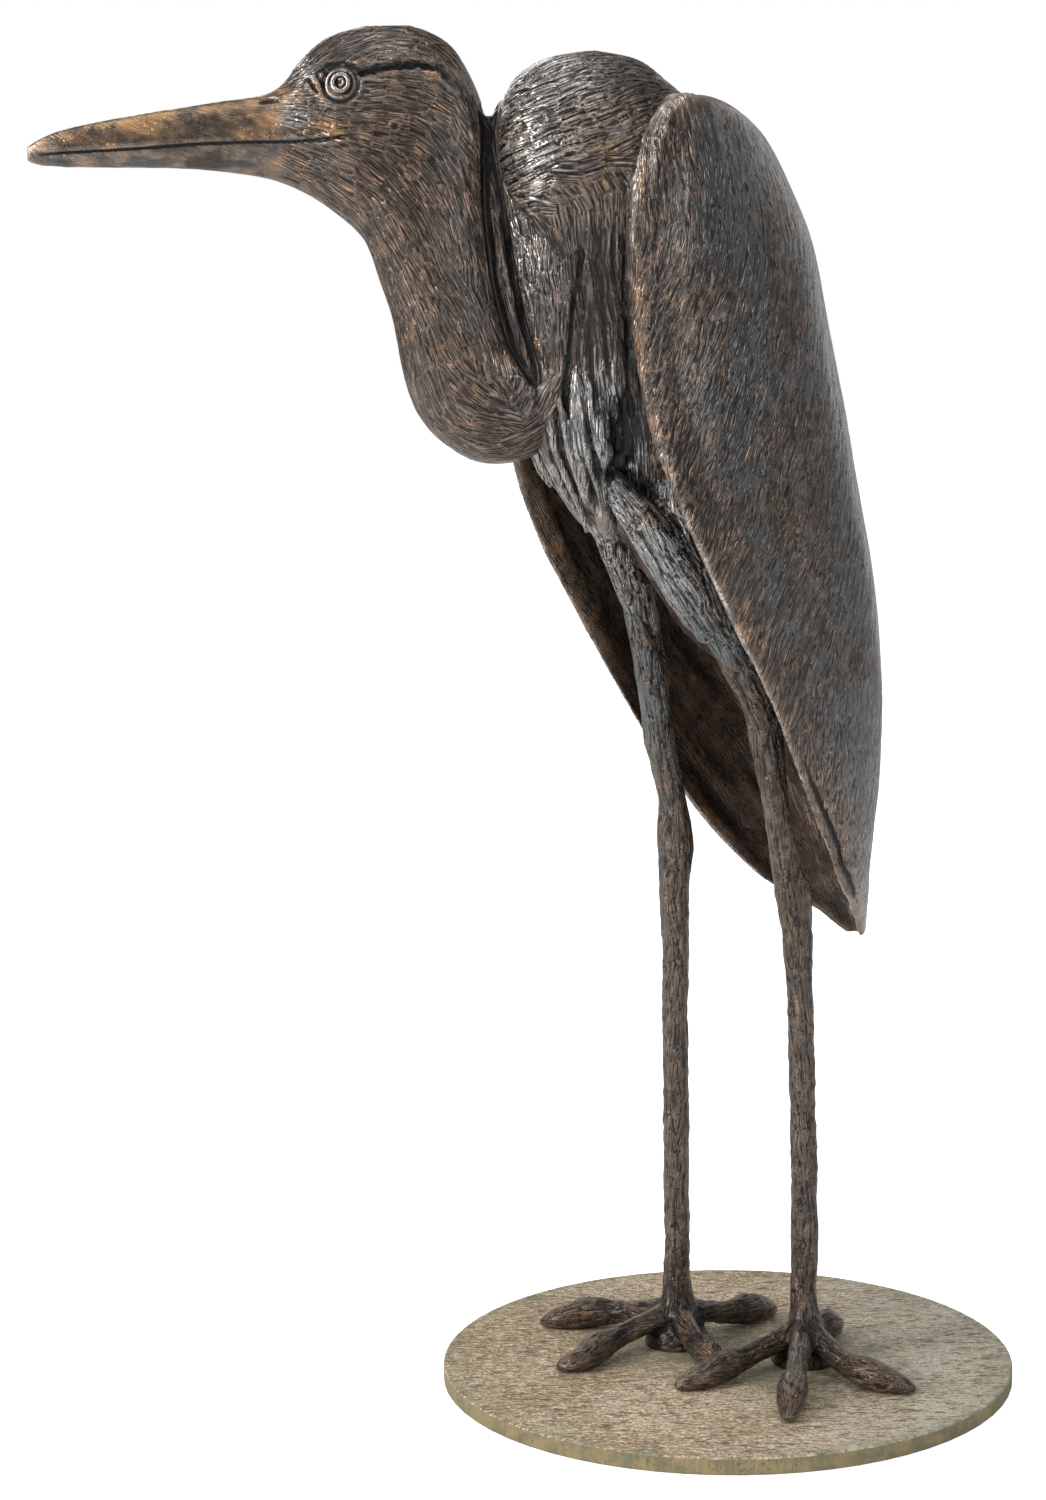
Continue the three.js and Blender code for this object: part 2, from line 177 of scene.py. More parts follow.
def sweep(stations, sides=32, steps=160, across=(1, 0, 0), swell=None):
    """A round form along a path of stations [x, y, z, half-width, half-depth]."""
    stations = np.array([[*s, s[3]] if len(s) == 4 else s for s in stations], float)
    shares = np.linspace(0, 1, steps + 1)
    rows, towards = through(stations, shares)
    ahead = towards[:, :3] / np.linalg.norm(towards[:, :3], axis=1)[:, None]
    side = np.array(across, float) - (ahead @ np.array(across, float))[:, None] * ahead
    side /= np.linalg.norm(side, axis=1)[:, None]
    front = np.cross(ahead, side)
    angle = (2 * np.pi * np.arange(sides) / sides)[None, :, None]
    size = np.maximum(rows[:, 3:], LEAST_RADIUS)[:, None, :]
    if swell:
        size = size * swell(shares[:, None], angle[..., 0])[..., None]
    wide = side[:, None] * size[..., :1] * np.cos(angle)
    deep = front[:, None] * size[..., 1:] * np.sin(angle)
    return skin(rows[:, None, :3] + wide + deep)


# %% [markdown]
# ## The station tables
# The trunk is a rounded hump in level sections. The neck is folded on itself, so it takes two limbs:
# one falls from the shoulders and one rises to the head. The skull and the bill are one form in
# upright sections.

# %% Trunk, neck and head
TRUNK = [  # z, front y, back y, half-width
    [917, -146, -140, 3], [911, -176, -110, 29], [896, -196, -90, 48], [872, -207, -45, 60],
    [840, -206, 2, 64], [800, -190, 32, 70], [750, -174, 45, 74], [700, -164, 55, 74],
    [650, -142, 62, 64], [600, -98, 70, 50], [560, -64, 72, 42], [528, -36, 64, 34],
    [508, -8, 52, 22], [499, 14, 32, 4],
]  # fmt: skip
NECK_FALL = [  # z, rear, front, half-width
    [892, -20, 52, 26], [880, -34, 62.5, 40], [860, -44, 66, 46], [835, -44, 65, 44],
    [800, -34, 62, 40], [770, -20, 57.5, 36], [740, -8, 51, 33], [715, 2, 46, 30],
    [690, 10, 48, 25], [672, 22, 46, 15], [664, 32, 40, 3],
]  # fmt: skip
NECK_RISE = [  # z, rear, front, half-width
    [653, 55, 69, 4], [656, 42, 79, 15], [663, 30, 91, 23], [673, 22, 103, 28],
    [686, 17, 112.5, 31], [702, 18, 119, 33], [716, 30, 122.5, 34], [730, 44, 125, 34],
    [750, 52, 129, 34], [770, 57, 136, 33.5], [790, 60, 142.5, 33], [810, 61.5, 152, 32.5],
    [830, 62, 158, 31], [850, 64, 146, 28], [874, 78, 120, 12],
]  # fmt: skip
HEAD = [  # forward, underside, top, half-width
    [64.5, 847, 865.5, 6], [68, 833, 876.5, 14], [76, 819, 897.5, 21], [88, 807, 918, 26],
    [103, 798, 928.5, 28.5], [122, 793, 934.1, 30], [140, 793, 933.5, 29.5], [153, 805, 930.7, 28],
    [164, 814, 927.5, 25.5], [174, 821, 922.5, 22], [186, 828, 911.5, 18.5], [198, 833, 896.5, 15.5],
    [211, 836.8, 889.3, 13.5], [237, 840.6, 885.5, 11], [263, 842.6, 881.5, 9.4], [289, 843, 877.3, 8],
    [314, 843.2, 872.9, 6.8], [340, 843.6, 867.2, 5.2], [354, 844.6, 861.5, 3.6], [362, 847, 857, 1.6],
]  # fmt: skip


def level_on_neck(z, forward, left):
    return on_neck(forward, z, left)


def side_of_head(forward, height):
    """How far the side of the head stands from its middle plane."""
    table = np.array(HEAD)
    low, high, half = (np.interp(forward, table[:, 0], table[:, k]) for k in (1, 2, 3))
    rise = (2 * height - low - high) / (high - low)
    return half * math.sqrt(max(0, 1 - rise * rise))


print("side of the head at the eye:", round(side_of_head(160, 896.5), 2), "mm")

# %% [markdown]
# A wing is a shell. Each level section is a curve that starts at the front rim, bulges out to the
# side and ends in the middle of the back. It is thick at the shoulder and thin at the lower edge.

# %% Wings, tuft and plume
WING_RIM = 6  # thickness
WING_SHOULDER = 16
WING_STEPS = 21  # the solid has so many levels, and both ends thin out over the last three
WINGS = [  # z, rim x, rim y, near side, far side, back y, rear x
    [889, 60, -122, 64, 52, -98, 54], [887, 60, -128, 68, 60, -84, 50], [879, 60, -142, 76, 62, -55, 41],
    [862, 60, -154, 91, 48, -12, 27], [830, 60, -161, 100, 60, 18, 16], [790, 60, -162, 105, 78, 40, 8],
    [730, 60, -155, 107, 96, 54, 0], [670, 68, -149, 98, 113, 69, -3], [610, 74, -123, 89, 122, 82, -4],
    [550, 75, -84, 82, 125, 93, -4], [490, 73, -42, 85, 108, 103, -4], [430, 65, -1, 88, 74, 114, -3],
    [380, 54, 38, 77, 38, 125, -3], [340, 38, 75, 56, 14, 134, -3], [314, 19, 110, 27, 9, 139, -3],
    [301, 10, 124, 14, 8, 141, -3], [293, 6, 132, 7, 4, 142, -3],
]  # fmt: skip
BREAST_TUFT = [  # z, front y, back y, half-width
    [735, -164, -124, 22], [715, -173, -126, 30], [690, -175, -128, 35], [668, -172, -126, 36],
    [648, -163, -124, 34], [628, -151, -120, 26], [612, -140, -116, 17], [603, -132, -118, 7],
]  # fmt: skip
NAPE_PLUME = [  # forward, height, left, radius
    [66, 876, 6, 4], [65, 850, 9, 4.6], [61.5, 815, 12, 4.8], [57.5, 780, 14, 4.8], [51, 748, 15, 5],
    [44, 726, 16, 5.6], [38, 708, 17, 2.5],
]  # fmt: skip


def smoothstep(value, low, high):
    """A soft step from 0 to 1 between two values."""
    share = np.clip((value - low) / (high - low), 0, 1)
    return share * share * (3 - 2 * share)


def bell(value, middle, width, power=2):
    """1 at the middle, fading to 0 on both sides; a higher power makes its top flatter."""
    return np.exp(-(((value - middle) / width) ** power))


def wing(lap, hand, steps=190, across=90):
    """The shell of the left (1) or right (-1) wing, which laps so far over the one beside it."""
    z, x, y, near, far, back, rear = np.array(WINGS, float).T
    shares = np.linspace(0, 1, steps + 1)
    corners = [(x, y), (near, y + 0.28 * (back - y)), (far, back), (rear, back + lap)]
    corners = [through(np.stack([*c, z], -1), shares)[0] for c in corners]
    t = np.linspace(0, 1, across + 1)[None, :, None]
    a, b, c, d = (corner[:, None, :2] for corner in corners)
    outer = a * (1 - t) ** 3 + 3 * b * t * (1 - t) ** 2 + 3 * c * t**2 * (1 - t) + d * t**3
    ahead = 3 * ((b - a) * (1 - t) ** 2 + 2 * (c - b) * t * (1 - t) + (d - c) * t**2)
    ahead /= np.linalg.norm(ahead, axis=2)[..., None]
    level = corners[0][:, 2]
    step = shares * WING_STEPS
    share = smoothstep(level, 560, 830) * np.minimum(1, 0.3 + step / 3)
    thick = np.minimum(1, 0.25 + (WING_STEPS - step) / 3) * (WING_RIM + (WING_SHOULDER - WING_RIM) * share)
    slim = (1 - smoothstep(t, 0, 0.1)) * (1 - smoothstep(level, 620, 760))[:, None, None]
    thick = thick[:, None, None] * (1 - 0.55 * slim)
    inner = outer + thick * np.concatenate([-ahead[..., 1:], ahead[..., :1]], -1)
    nose = (outer[:, :1] + inner[:, :1]) / 2 - 0.4 * thick[:, :1] * ahead[:, :1]
    ring = np.concatenate([nose, outer, inner[:, ::-1]], 1)
    ring = np.concatenate([ring, np.broadcast_to(level[:, None, None], ring[..., :1].shape)], -1)
    ring[..., 0] *= hand
    return hollow_skin(ring)


def hollow_skin(rings):
    """Closes a stack of thin curved rings: each end is a strip from its outer to its inner side."""
    rows, count, _ = rings.shape
    points, faces = skin(rings)
    sides = faces[: 2 * (rows - 1) * count]
    half = (count - 1) // 2
    for start in (0, (rows - 1) * count):
        outer = start + 1 + np.arange(half)
        inner = start + count - 1 - np.arange(half)
        first = np.stack([outer[:-1], outer[1:], inner[1:]], -1)
        second = np.stack([outer[:-1], inner[1:], inner[:-1]], -1)
        strip = np.vstack([first, second, [[start, outer[0], inner[0]]]])
        sides = np.vstack([sides, strip if start == 0 else strip[:, ::-1]])
    points, sides = closed(points, sides)
    return points[:-2], sides


print("wing skin:", [len(part) for part in wing(3, 1)])

# %% [markdown]
# Each leg goes from the feathered thigh in the belly, past the ankle's knob, down to the toes. The
# toes are lobed and end in claws, three ahead and one behind.

# %% Legs and toes
TARSUS = 9.2  # radius of the long bone
LEFT_LEG = [  # x, y, z, half-width, half-depth
    [30, -72, 668, 16, 20], [37, -94, 640, 20, 22], [42, -95, 612, 19, 21], [46, -85, 586, 17.5, 19.5],
    [47.5, -72, 560, 16.5, 18], [47, -49, 525, 14, 15.5], [42, -21, 488, 12, 13], [34, -2.5, 450, 10.9],
    [33.5, 6.2, 414, 9.3], [34.5, 15.1, 378, 9.4], [36, 23.7, 345, 12.4], [37, 27, 318, 11],
    [38, 30, 275, TARSUS], [43, 30.5, 160, TARSUS], [46.5, 29, 66, TARSUS], [48, 28.5, 44, 12],
    [48, 28.5, 28, 15],
]  # fmt: skip
RIGHT_LEG = [
    [-22, -60, 656, 16, 22], [-31, -89, 622, 13, 17], [-35, -80, 592, 10.5, 13], [-38, -55, 551, 10, 12],
    [-40.5, -42.5, 515, 9.6, 11], [-43, -32.5, 480, 9.6], [-45, -24, 446, 10], [-44, -13, 407, 10],
    [-45, -8, 372, 12.8], [-45, -9, 345, 11], [-44, -9, 305, TARSUS], [-44, -7, 190, TARSUS],
    [-43, -5.7, 73, TARSUS], [-43.5, -4, 46, 12], [-43.5, -4, 28, 15],
]  # fmt: skip
LEFT_THIGH = [
    [10, -138, 654, 3, 3], [17, -138, 642, 8, 7], [26, -131, 628, 11, 11], [35, -119, 608, 15, 14],
    [41, -104, 586, 16.5, 16], [44, -87, 563, 15, 15], [46, -70, 540, 12, 13],
]  # fmt: skip
LEFT_ROOT, RIGHT_ROOT = [48, 28.5], [-43.5, -4]
TOES = [  # from the root to the claw, seen from above
    [LEFT_ROOT, [38.4, -21], [35.2, -61], [25.4, -81.3]],
    [LEFT_ROOT, [89.5, -30], [116, -65.6], [125, -78.2]],
    [LEFT_ROOT, [105.8, 13.4], [136, 17.7], [148.7, 28]],
    [LEFT_ROOT, [36, 52], [28.5, 78], [22, 94]],
    [RIGHT_ROOT, [-98.6, -12], [-119.6, -34], [-139.7, -46]],
    [RIGHT_ROOT, [-55.6, -53.4], [-51.2, -92.8], [-62, -109.1]],
    [RIGHT_ROOT, [-4.2, -25.6], [14, -30], [32, -40]],
    [RIGHT_ROOT, [-34, 60], [-34.7, 91.5]],
]
TOE_RADIUS = 10
TOE_PROFILE = [  # share of the length, height of the middle, width, depth
    [0, 24, 1, 1], [0.28, 17, 0.85, 0.8], [0.48, 12, 0.8, 0.85], [0.66, 11, 1.1, 1.1],
    [0.82, 8.5, 1.0, 0.9], [0.94, 5, 0.7, 0.55], [1, 2.5, 0.35, 0.25],
]  # fmt: skip


def toe(flat):
    """A toe through [x, y] points seen from above, with a low crest along its back."""
    flat = np.array([[*p, 0] for p in flat], float)
    fine = through(flat, np.linspace(0, 1, 201))[0]
    length = np.concatenate([[0], np.cumsum(np.linalg.norm(np.diff(fine, axis=0), axis=1))])
    stations = []
    for share, z, wide, deep in TOE_PROFILE:
        x, y = (np.interp(share * length[-1], length, fine[:, k]) for k in (0, 1))
        stations.append([x, y, FLOOR + z, wide * TOE_RADIUS, deep * TOE_RADIUS])
    heading = (flat[-1] - flat[0]) / np.linalg.norm(flat[-1] - flat[0])

    def crest(share, angle):
        return 1 + 0.1 * np.exp(-(((angle - np.pi / 2 + np.pi) % (2 * np.pi) - np.pi) / 0.4) ** 2)

    return sweep(stations, steps=70, across=(-heading[1], heading[0], 0), swell=crest)


def ball(middle, radius, squash=1.0, sides=32):
    angle = np.linspace(-np.pi / 2, np.pi / 2, sides // 2 + 1)[1:-1]
    round_ = 2 * np.pi * np.arange(sides) / sides
    ring = np.stack(
        [
            np.cos(angle)[:, None] * np.cos(round_),
            np.cos(angle)[:, None] * np.sin(round_),
            np.broadcast_to(np.sin(angle)[:, None], (len(angle), sides)) * squash,
        ],
        -1,
    )
    return skin(np.asarray(middle, float) + radius * ring)


print("toes:", len(TOES), "points in one:", len(toe(TOES[0])[0]))

# %% [markdown]
# ## From many forms to one skin
# Clay is pressed together until the joins vanish. A voxel remesh does the same: it reads all the
# overlapping forms as one body and lays an even net of small squares over it. On such a net every
# stroke can be carved by moving points, as a tool would.

# %% The even net, and how to blur and read it


class Net:
    """A closed net of squares as plain arrays, so that it can be carved in bulk."""

    def __init__(self, points, squares):
        self.points, self.squares = points, squares
        pairs = np.sort(np.concatenate([squares[:, [k, (k + 1) % 4]] for k in range(4)]), axis=1)
        keys = np.unique(pairs[:, 0] * len(points) + pairs[:, 1])
        self.edges = keys // len(points), keys % len(points)
        self.degree = sum(np.bincount(end, minlength=len(points)) for end in self.edges)

    def blur(self, values, times=1):
        a, b = self.edges
        values = np.asarray(values, float)
        flat = values.reshape(len(values), -1)
        for _ in range(times):
            total = np.stack(
                [
                    np.bincount(a, column[b], len(column)) + np.bincount(b, column[a], len(column))
                    for column in flat.T
                ],
                -1,
            )
            flat = (flat + total) / (1 + self.degree[:, None])
        return flat.reshape(values.shape)

    def relax(self, times, where=1.0):
        """Smooths the net, more where `where` is 1 and not at all where it is 0."""
        where = np.broadcast_to(np.asarray(where, float), (len(self.points),))[:, None]
        for _ in range(times):
            self.points = self.points + where * (self.blur(self.points) - self.points)

    def normals(self):
        p = self.points[self.squares]
        face = np.cross(p[:, 2] - p[:, 0], p[:, 3] - p[:, 1])
        total = np.zeros_like(self.points)
        for k in range(3):
            for corner in range(4):
                total[:, k] += np.bincount(self.squares[:, corner], face[:, k], len(total))
        return total / np.maximum(np.linalg.norm(total, axis=1), 1e-9)[:, None]


def plain_object(name, points, faces):
    """A linked object from arrays: points, and faces that all have the same number of corners."""
    mesh = bpy.data.meshes.new(name)
    mesh.vertices.add(len(points))
    mesh.vertices.foreach_set("co", np.ascontiguousarray(points, np.float32).ravel())
    mesh.loops.add(faces.size)
    mesh.loops.foreach_set("vertex_index", np.ascontiguousarray(faces, np.int32).ravel())
    mesh.polygons.add(len(faces))
    mesh.polygons.foreach_set("loop_start", np.arange(0, faces.size, faces.shape[1], dtype=np.int32))
    mesh.update(calc_edges=True)
    made = bpy.data.objects.new(name, mesh)
    bpy.context.scene.collection.objects.link(made)
    return made


def read_mesh(mesh, corners_each):
    points = np.empty(len(mesh.vertices) * 3)
    mesh.vertices.foreach_get("co", points)
    corners = np.empty(len(mesh.loops), int)
    mesh.loops.foreach_get("vertex_index", corners)
    return points.reshape(-1, 3), corners.reshape(-1, corners_each)


def fuse(name, skins, cell):
    """Presses closed skins together and lays a net of squares of the size `cell` over them."""
    start, points, faces = 0, [], []
    for part_points, part_faces in skins:
        points.append(part_points)
        faces.append(part_faces + start)
        start += len(part_points)
    rough = plain_object(name, np.vstack(points), np.vstack(faces))
    remesh = rough.modifiers.new("fuse", "REMESH")
    remesh.mode = "VOXEL"
    remesh.voxel_size = cell
    depsgraph = bpy.context.evaluated_depsgraph_get()
    fused = rough.evaluated_get(depsgraph).to_mesh()
    assert len(fused.loops) == 4 * len(fused.polygons)
    net = Net(*read_mesh(fused, 4))
    bpy.data.meshes.remove(rough.data)
    print(f"{name}: {len(net.points)} points, {2 * len(net.squares)} triangles")
    return net


# %% [markdown]
# ## Noise to carve with
# Nothing on a hand-made thing is even. One smooth noise gives the hollows of the clay, the wobble of
# a groove and the ragged edge of a stain. It is made from whole numbers, so it comes out the same
# each time.

# %% Smooth noise
CELL_PRIMES = np.array([73856093, 19349663, 83492791])
SEED_PRIME, MIX_PRIME = 1013904223, 1274126177


def lumps(points, size, seed=0):
    """Smooth noise from -1 to 1, with lumps about `size` apart."""
    at = np.asarray(points, float) / size + 17.31 * seed
    cell = np.floor(at).astype(np.int64)
    part = at - cell
    part = part * part * (3 - 2 * part)
    total = np.zeros(len(at))
    for corner in itertools.product((0, 1), repeat=3):
        key = (cell + corner) @ CELL_PRIMES + seed * SEED_PRIME
        key = (key ^ (key >> 13)) * MIX_PRIME
        key = (key ^ (key >> 16)) & 0xFFFFFF
        weight = np.prod(np.where(corner, part, 1 - part), axis=1)
        total += weight * (key / 0x7FFFFF - 1)
    return total


sample = lumps(np.random.default_rng(1).uniform(0, 99, (999, 3)), 5)
print("lumps stay within", round(float(np.abs(sample).max()), 2))

# %% [markdown]
# ## Combed strokes
# Feathers are suggested by short strokes of a toothed tool. Each stroke belongs to a small patch
# with one direction, and the patches turn with the form. We scatter patches over the net, ask a
# rule for the direction in each, and keep for every point where it lies across and along its own
# patch. The same two numbers carve the net here and drive the finest strokes in the material.

# %% Patches of strokes
CELLS = 4000  # more cells than a part can have along one side
CHUNK = 8192  # points measured at a time, to spare memory
PATCH_KINDS, KIND_GAP = 97, 7.7  # patches far apart in the noise, so that no two are alike


class Comb:
    """Patches of strokes scattered over a net, each with its own direction."""

    def __init__(self, net, direction, reach, seed, wander=0.12):
        """`reach` is the size of a patch, `wander` how far its direction strays, in radians."""
        rng = np.random.default_rng(seed)
        normals = net.normals()
        order = rng.permutation(len(net.points))
        cells = np.floor(net.points[order] / reach).astype(int) + CELLS // 4
        octant = (normals[order] > 0) @ np.array([1, 2, 4])
        keys = ((cells[:, 0] * CELLS + cells[:, 1]) * CELLS + cells[:, 2]) * 8 + octant
        roots = order[np.unique(keys, return_index=True)[1]]
        up = net.blur(normals, 4)[roots]
        up /= np.linalg.norm(up, axis=1)[:, None]
        ahead = direction(net.points[roots], up)
        ahead = ahead - np.einsum("ij,ij->i", ahead, up)[:, None] * up
        ahead /= np.maximum(np.linalg.norm(ahead, axis=1), 1e-6)[:, None]
        side = np.cross(up, ahead)
        turn = rng.normal(0, wander, len(roots))[:, None]
        self.ahead = ahead * np.cos(turn) + side * np.sin(turn)
        self.side = side * np.cos(turn) - ahead * np.sin(turn)
        self.roots, self.up, self.reach, self.seed = net.points[roots], up, reach, seed
        self.offset = rng.uniform(-500, 500, (len(roots), 2))
        self.patch, second, gap = self.nearest(net.points, normals)
        self.seam = 1 - smoothstep(gap, 0, 2.5)
        self.own = 0.5 + 0.5 * smoothstep(gap, 0, 9)
        self.at, self.beside = self.flow(net.points, self.patch), self.flow(net.points, second)

    def nearest(self, points, normals):
        """The patch that each point lies in, the next nearest one, and how much farther that one is."""
        wobble = np.stack([lumps(points, self.reach * 0.6, self.seed + k) for k in range(3)], -1)
        here = np.hstack([points + wobble * self.reach * 0.2, normals * self.reach]).astype(np.float32)
        there = np.hstack([self.roots, self.up * self.reach]).astype(np.float32)
        patch, second, gap = np.empty(len(here), int), np.empty(len(here), int), np.empty(len(here))
        for start in range(0, len(here), CHUNK):
            rows = slice(start, start + CHUNK)
            chunk = here[rows]
            far = (there**2).sum(1)[None] - 2 * chunk @ there.T + (chunk**2).sum(1)[:, None]
            two = np.argpartition(far, 1, axis=1)[:, :2]
            near = np.sqrt(np.maximum(np.take_along_axis(far, two, 1), 0))
            patch[rows] = two[np.arange(len(two)), near.argmin(1)]
            second[rows] = two[np.arange(len(two)), near.argmax(1)]
            gap[rows] = near.max(1) - near.min(1)
        return patch, second, gap

    def flow(self, points, patch):
        """How far each point lies across and along its patch, and the patch's own number."""
        away = points - self.roots[patch]
        over = np.einsum("...j,...j->...", away, self.side[patch]) + self.offset[patch, 0]
        down = np.einsum("...j,...j->...", away, self.ahead[patch]) + self.offset[patch, 1]
        return np.stack([over, down, patch % PATCH_KINDS * KIND_GAP], -1)

    def strokes(self, pitch, length, seed=0):
        """Narrow wavy grooves, -1 in a groove and 1 between them, where stretched noise changes sign.

        Near the edge of a patch its noise fades into that of the patch beside it.
        """
        level = 0
        for at, share in ((self.at, self.own), (self.beside, 1 - self.own)):
            wave = 0.4 * pitch * lumps(at / [pitch * 2, length / 2, 1], 1, seed + 50)
            over = at + np.stack([wave, 0 * wave, 0 * wave], -1)
            level = level + share * lumps(over / [pitch / 1.6, length, 1], 1, seed)
        return 2 * smoothstep(np.abs(level), 0, 0.25) - 1


print("a comb measures", CHUNK, "points at a time")

# %% [markdown]
# ## Shader groups
# The dark patina, the strokes and the rubbed ridges are the same effect on every part of the cast,
# so each is one node group, placed in each material with its own values. A small helper keeps the
# node code short.

# %% A helper for node code


class Graph:
    """Short ways to add and join shader nodes in one tree."""

    def __init__(self, tree):
        self.tree = tree

    def node(self, kind, **settings):
        node = self.tree.nodes.new("ShaderNode" + kind)
        for name, value in settings.items():
            setattr(node, name, value)
        return node

    def feed(self, socket, value):
        if isinstance(value, bpy.types.NodeSocket):
            self.tree.links.new(value, socket)
        elif value is not None:
            socket.default_value = value

    def maths(self, operation, *values, clamp=False):
        node = self.node("Math", operation=operation, use_clamp=clamp)
        for socket, value in zip(node.inputs, values):
            self.feed(socket, value)
        return node.outputs[0]

    def plus(self, first, *others):
        for other in others:
            first = self.maths("ADD", first, other)
        return first

    def minus(self, first, second, clamp=False):
        return self.maths("SUBTRACT", first, second, clamp=clamp)

    def times(self, first, *others, clamp=False):
        for other in others:
            first = self.maths("MULTIPLY", first, other, clamp=clamp)
        return first

    def between(self, low, high, share):
        return self.plus(low, self.times(share, high - low))

    def ease(self, value, low, high):
        """0 up to `low`, 1 from `high` on and a soft step between them; it falls where high is less."""
        node = self.node("MapRange", interpolation_type="SMOOTHSTEP")
        for name, given in (("Value", value), ("From Min", low), ("From Max", high)):
            self.feed(node.inputs[name], given)
        return node.outputs[0]

    def mix(self, share, first, second):
        node = self.node("Mix", data_type="RGBA")
        self.feed(node.inputs["Factor"], share)
        self.feed(node.inputs[6], first)
        self.feed(node.inputs[7], second)
        return node.outputs[2]

    def cover(self, colour, mask, strength, over):
        """Lays a colour over another where the mask is, at most as strongly as given."""
        return self.mix(self.times(mask, strength), colour, over)

    def noise(self, vector, scale, detail=3.0, roughness=0.55, distortion=0.0):
        node = self.node("TexNoise")
        wanted = {"Scale": scale, "Detail": detail, "Roughness": roughness, "Distortion": distortion}
        for name, given in {"Vector": vector, **wanted}.items():
            self.feed(node.inputs[name], given)
        return node.outputs["Fac"]

    def layer(self, name):
        """A layer of numbers that is kept on the mesh."""
        return self.node("Attribute", attribute_name=name).outputs["Vector"]

    def split(self, vector):
        node = self.node("SeparateXYZ")
        self.feed(node.inputs[0], vector)
        return node.outputs

    def place(self, group, **inputs):
        node = self.node("Group", node_tree=group)
        for name, value in inputs.items():
            self.feed(node.inputs[name.replace("_", " ")], value)
        return node.outputs


def new_material(name):
    material = bpy.data.materials.new(name)
    material.use_nodes = True
    return material, Graph(material.node_tree), material.node_tree.nodes["Principled BSDF"]


def dress(graph, shader, colour, rough, height):
    """Feeds a shader its colour, its roughness and a relief in metres."""
    bump = graph.node("Bump")
    bump.inputs["Distance"].default_value = 1.0
    graph.feed(bump.inputs["Height"], height)
    graph.feed(shader.inputs["Base Color"], colour)
    graph.feed(shader.inputs["Roughness"], rough)
    graph.feed(shader.inputs["Normal"], bump.outputs[0])


def make_group(name, inputs, outputs):
    """An empty group with sockets for floats, vectors and colours."""
    tree = bpy.data.node_groups.new(name, "ShaderNodeTree")
    kinds = {"f": "NodeSocketFloat", "v": "NodeSocketVector", "c": "NodeSocketColor"}
    for label, kind in inputs:
        tree.interface.new_socket(name=label, in_out="INPUT", socket_type=kinds[kind])
    for label, kind in outputs:
        tree.interface.new_socket(name=label, in_out="OUTPUT", socket_type=kinds[kind])
    graph = Graph(tree)
    return graph, tree.nodes.new("NodeGroupInput").outputs, tree.nodes.new("NodeGroupOutput").inputs


# %% [markdown]
# The finest strokes are the marks of a toothed tool. A wave of one pitch runs across each patch, and
# a noise drawn out along the patch pushes it to and fro, so the lines lie side by side but never run
# quite straight. Fine scratches cross into them, and some stretches stand prouder than others.

# %% Node group: combed strokes


def make_comb_group():
    graph, given, out = make_group(
        "combed strokes", [("Flow", "v"), ("Pitch", "f"), ("Length", "f")], [("Height", "f")]
    )
    over, down, patch = graph.split(given["Flow"])

    def streaks(width, long):
        """Noise in streaks so many pitches wide and so many lengths long."""
        vector = graph.node("CombineXYZ")
        graph.feed(vector.inputs[0], graph.maths("DIVIDE", over, graph.times(given["Pitch"], width)))
        graph.feed(vector.inputs[1], graph.maths("DIVIDE", down, graph.times(given["Length"], long)))
        graph.feed(vector.inputs[2], patch)
        return graph.noise(vector.outputs[0], 1.0, 0.0)

    drift = graph.times(streaks(2.2, 1.6), 3.6)
    turns = graph.plus(graph.maths("DIVIDE", over, given["Pitch"]), drift)
    wave = graph.maths("ABSOLUTE", graph.maths("SINE", graph.times(turns, math.pi)))
    cut = graph.ease(wave, 0.0, 0.8)
    scratch = graph.ease(graph.maths("ABSOLUTE", graph.minus(streaks(0.6, 0.8), 0.5)), 0.0, 0.07)
    scratch = graph.between(0.35, 1.0, scratch)
    proud = graph.between(0.55, 1.0, graph.ease(streaks(1.0, 0.5), 0.35, 0.7))
    graph.feed(out["Height"], graph.times(graph.maths("MINIMUM", cut, scratch), proud))
    return graph.tree


COMB = make_comb_group()
print("made the group", COMB.name, "with", len(COMB.nodes), "nodes")

# %% [markdown]
# The patina is built up in layers. It is nearly black where polish never reaches, brown to tan on
# open ground and copper where hands and weather rub. A blue-grey bloom lies over some places in
# patches, ochre stains others, and the ridges that are rubbed most are worn to pale bare metal, which
# also paints the sheen of highlights. A dark layer on top paints dirt, and also shade in creases,
# pockets and gaps. The group takes masks and gives back a colour and a roughness.

# %% Node group: bronze patina
DARK = (0.010, 0.008, 0.0075, 1)
BROWN = (0.120, 0.084, 0.062, 1)
TAN = (0.260, 0.185, 0.135, 1)
COPPER = (0.55, 0.26, 0.11, 1)
BLOOM = (0.105, 0.125, 0.138, 1)
UMBER = (0.060, 0.042, 0.030, 1)
OCHRE = (0.30, 0.165, 0.062, 1)
BARE_AND_SHEEN = (0.60, 0.58, 0.56, 1)
PATCHES, BLOTCHES, SPECKS = 14.0, 70.0, 620.0  # so many in a metre


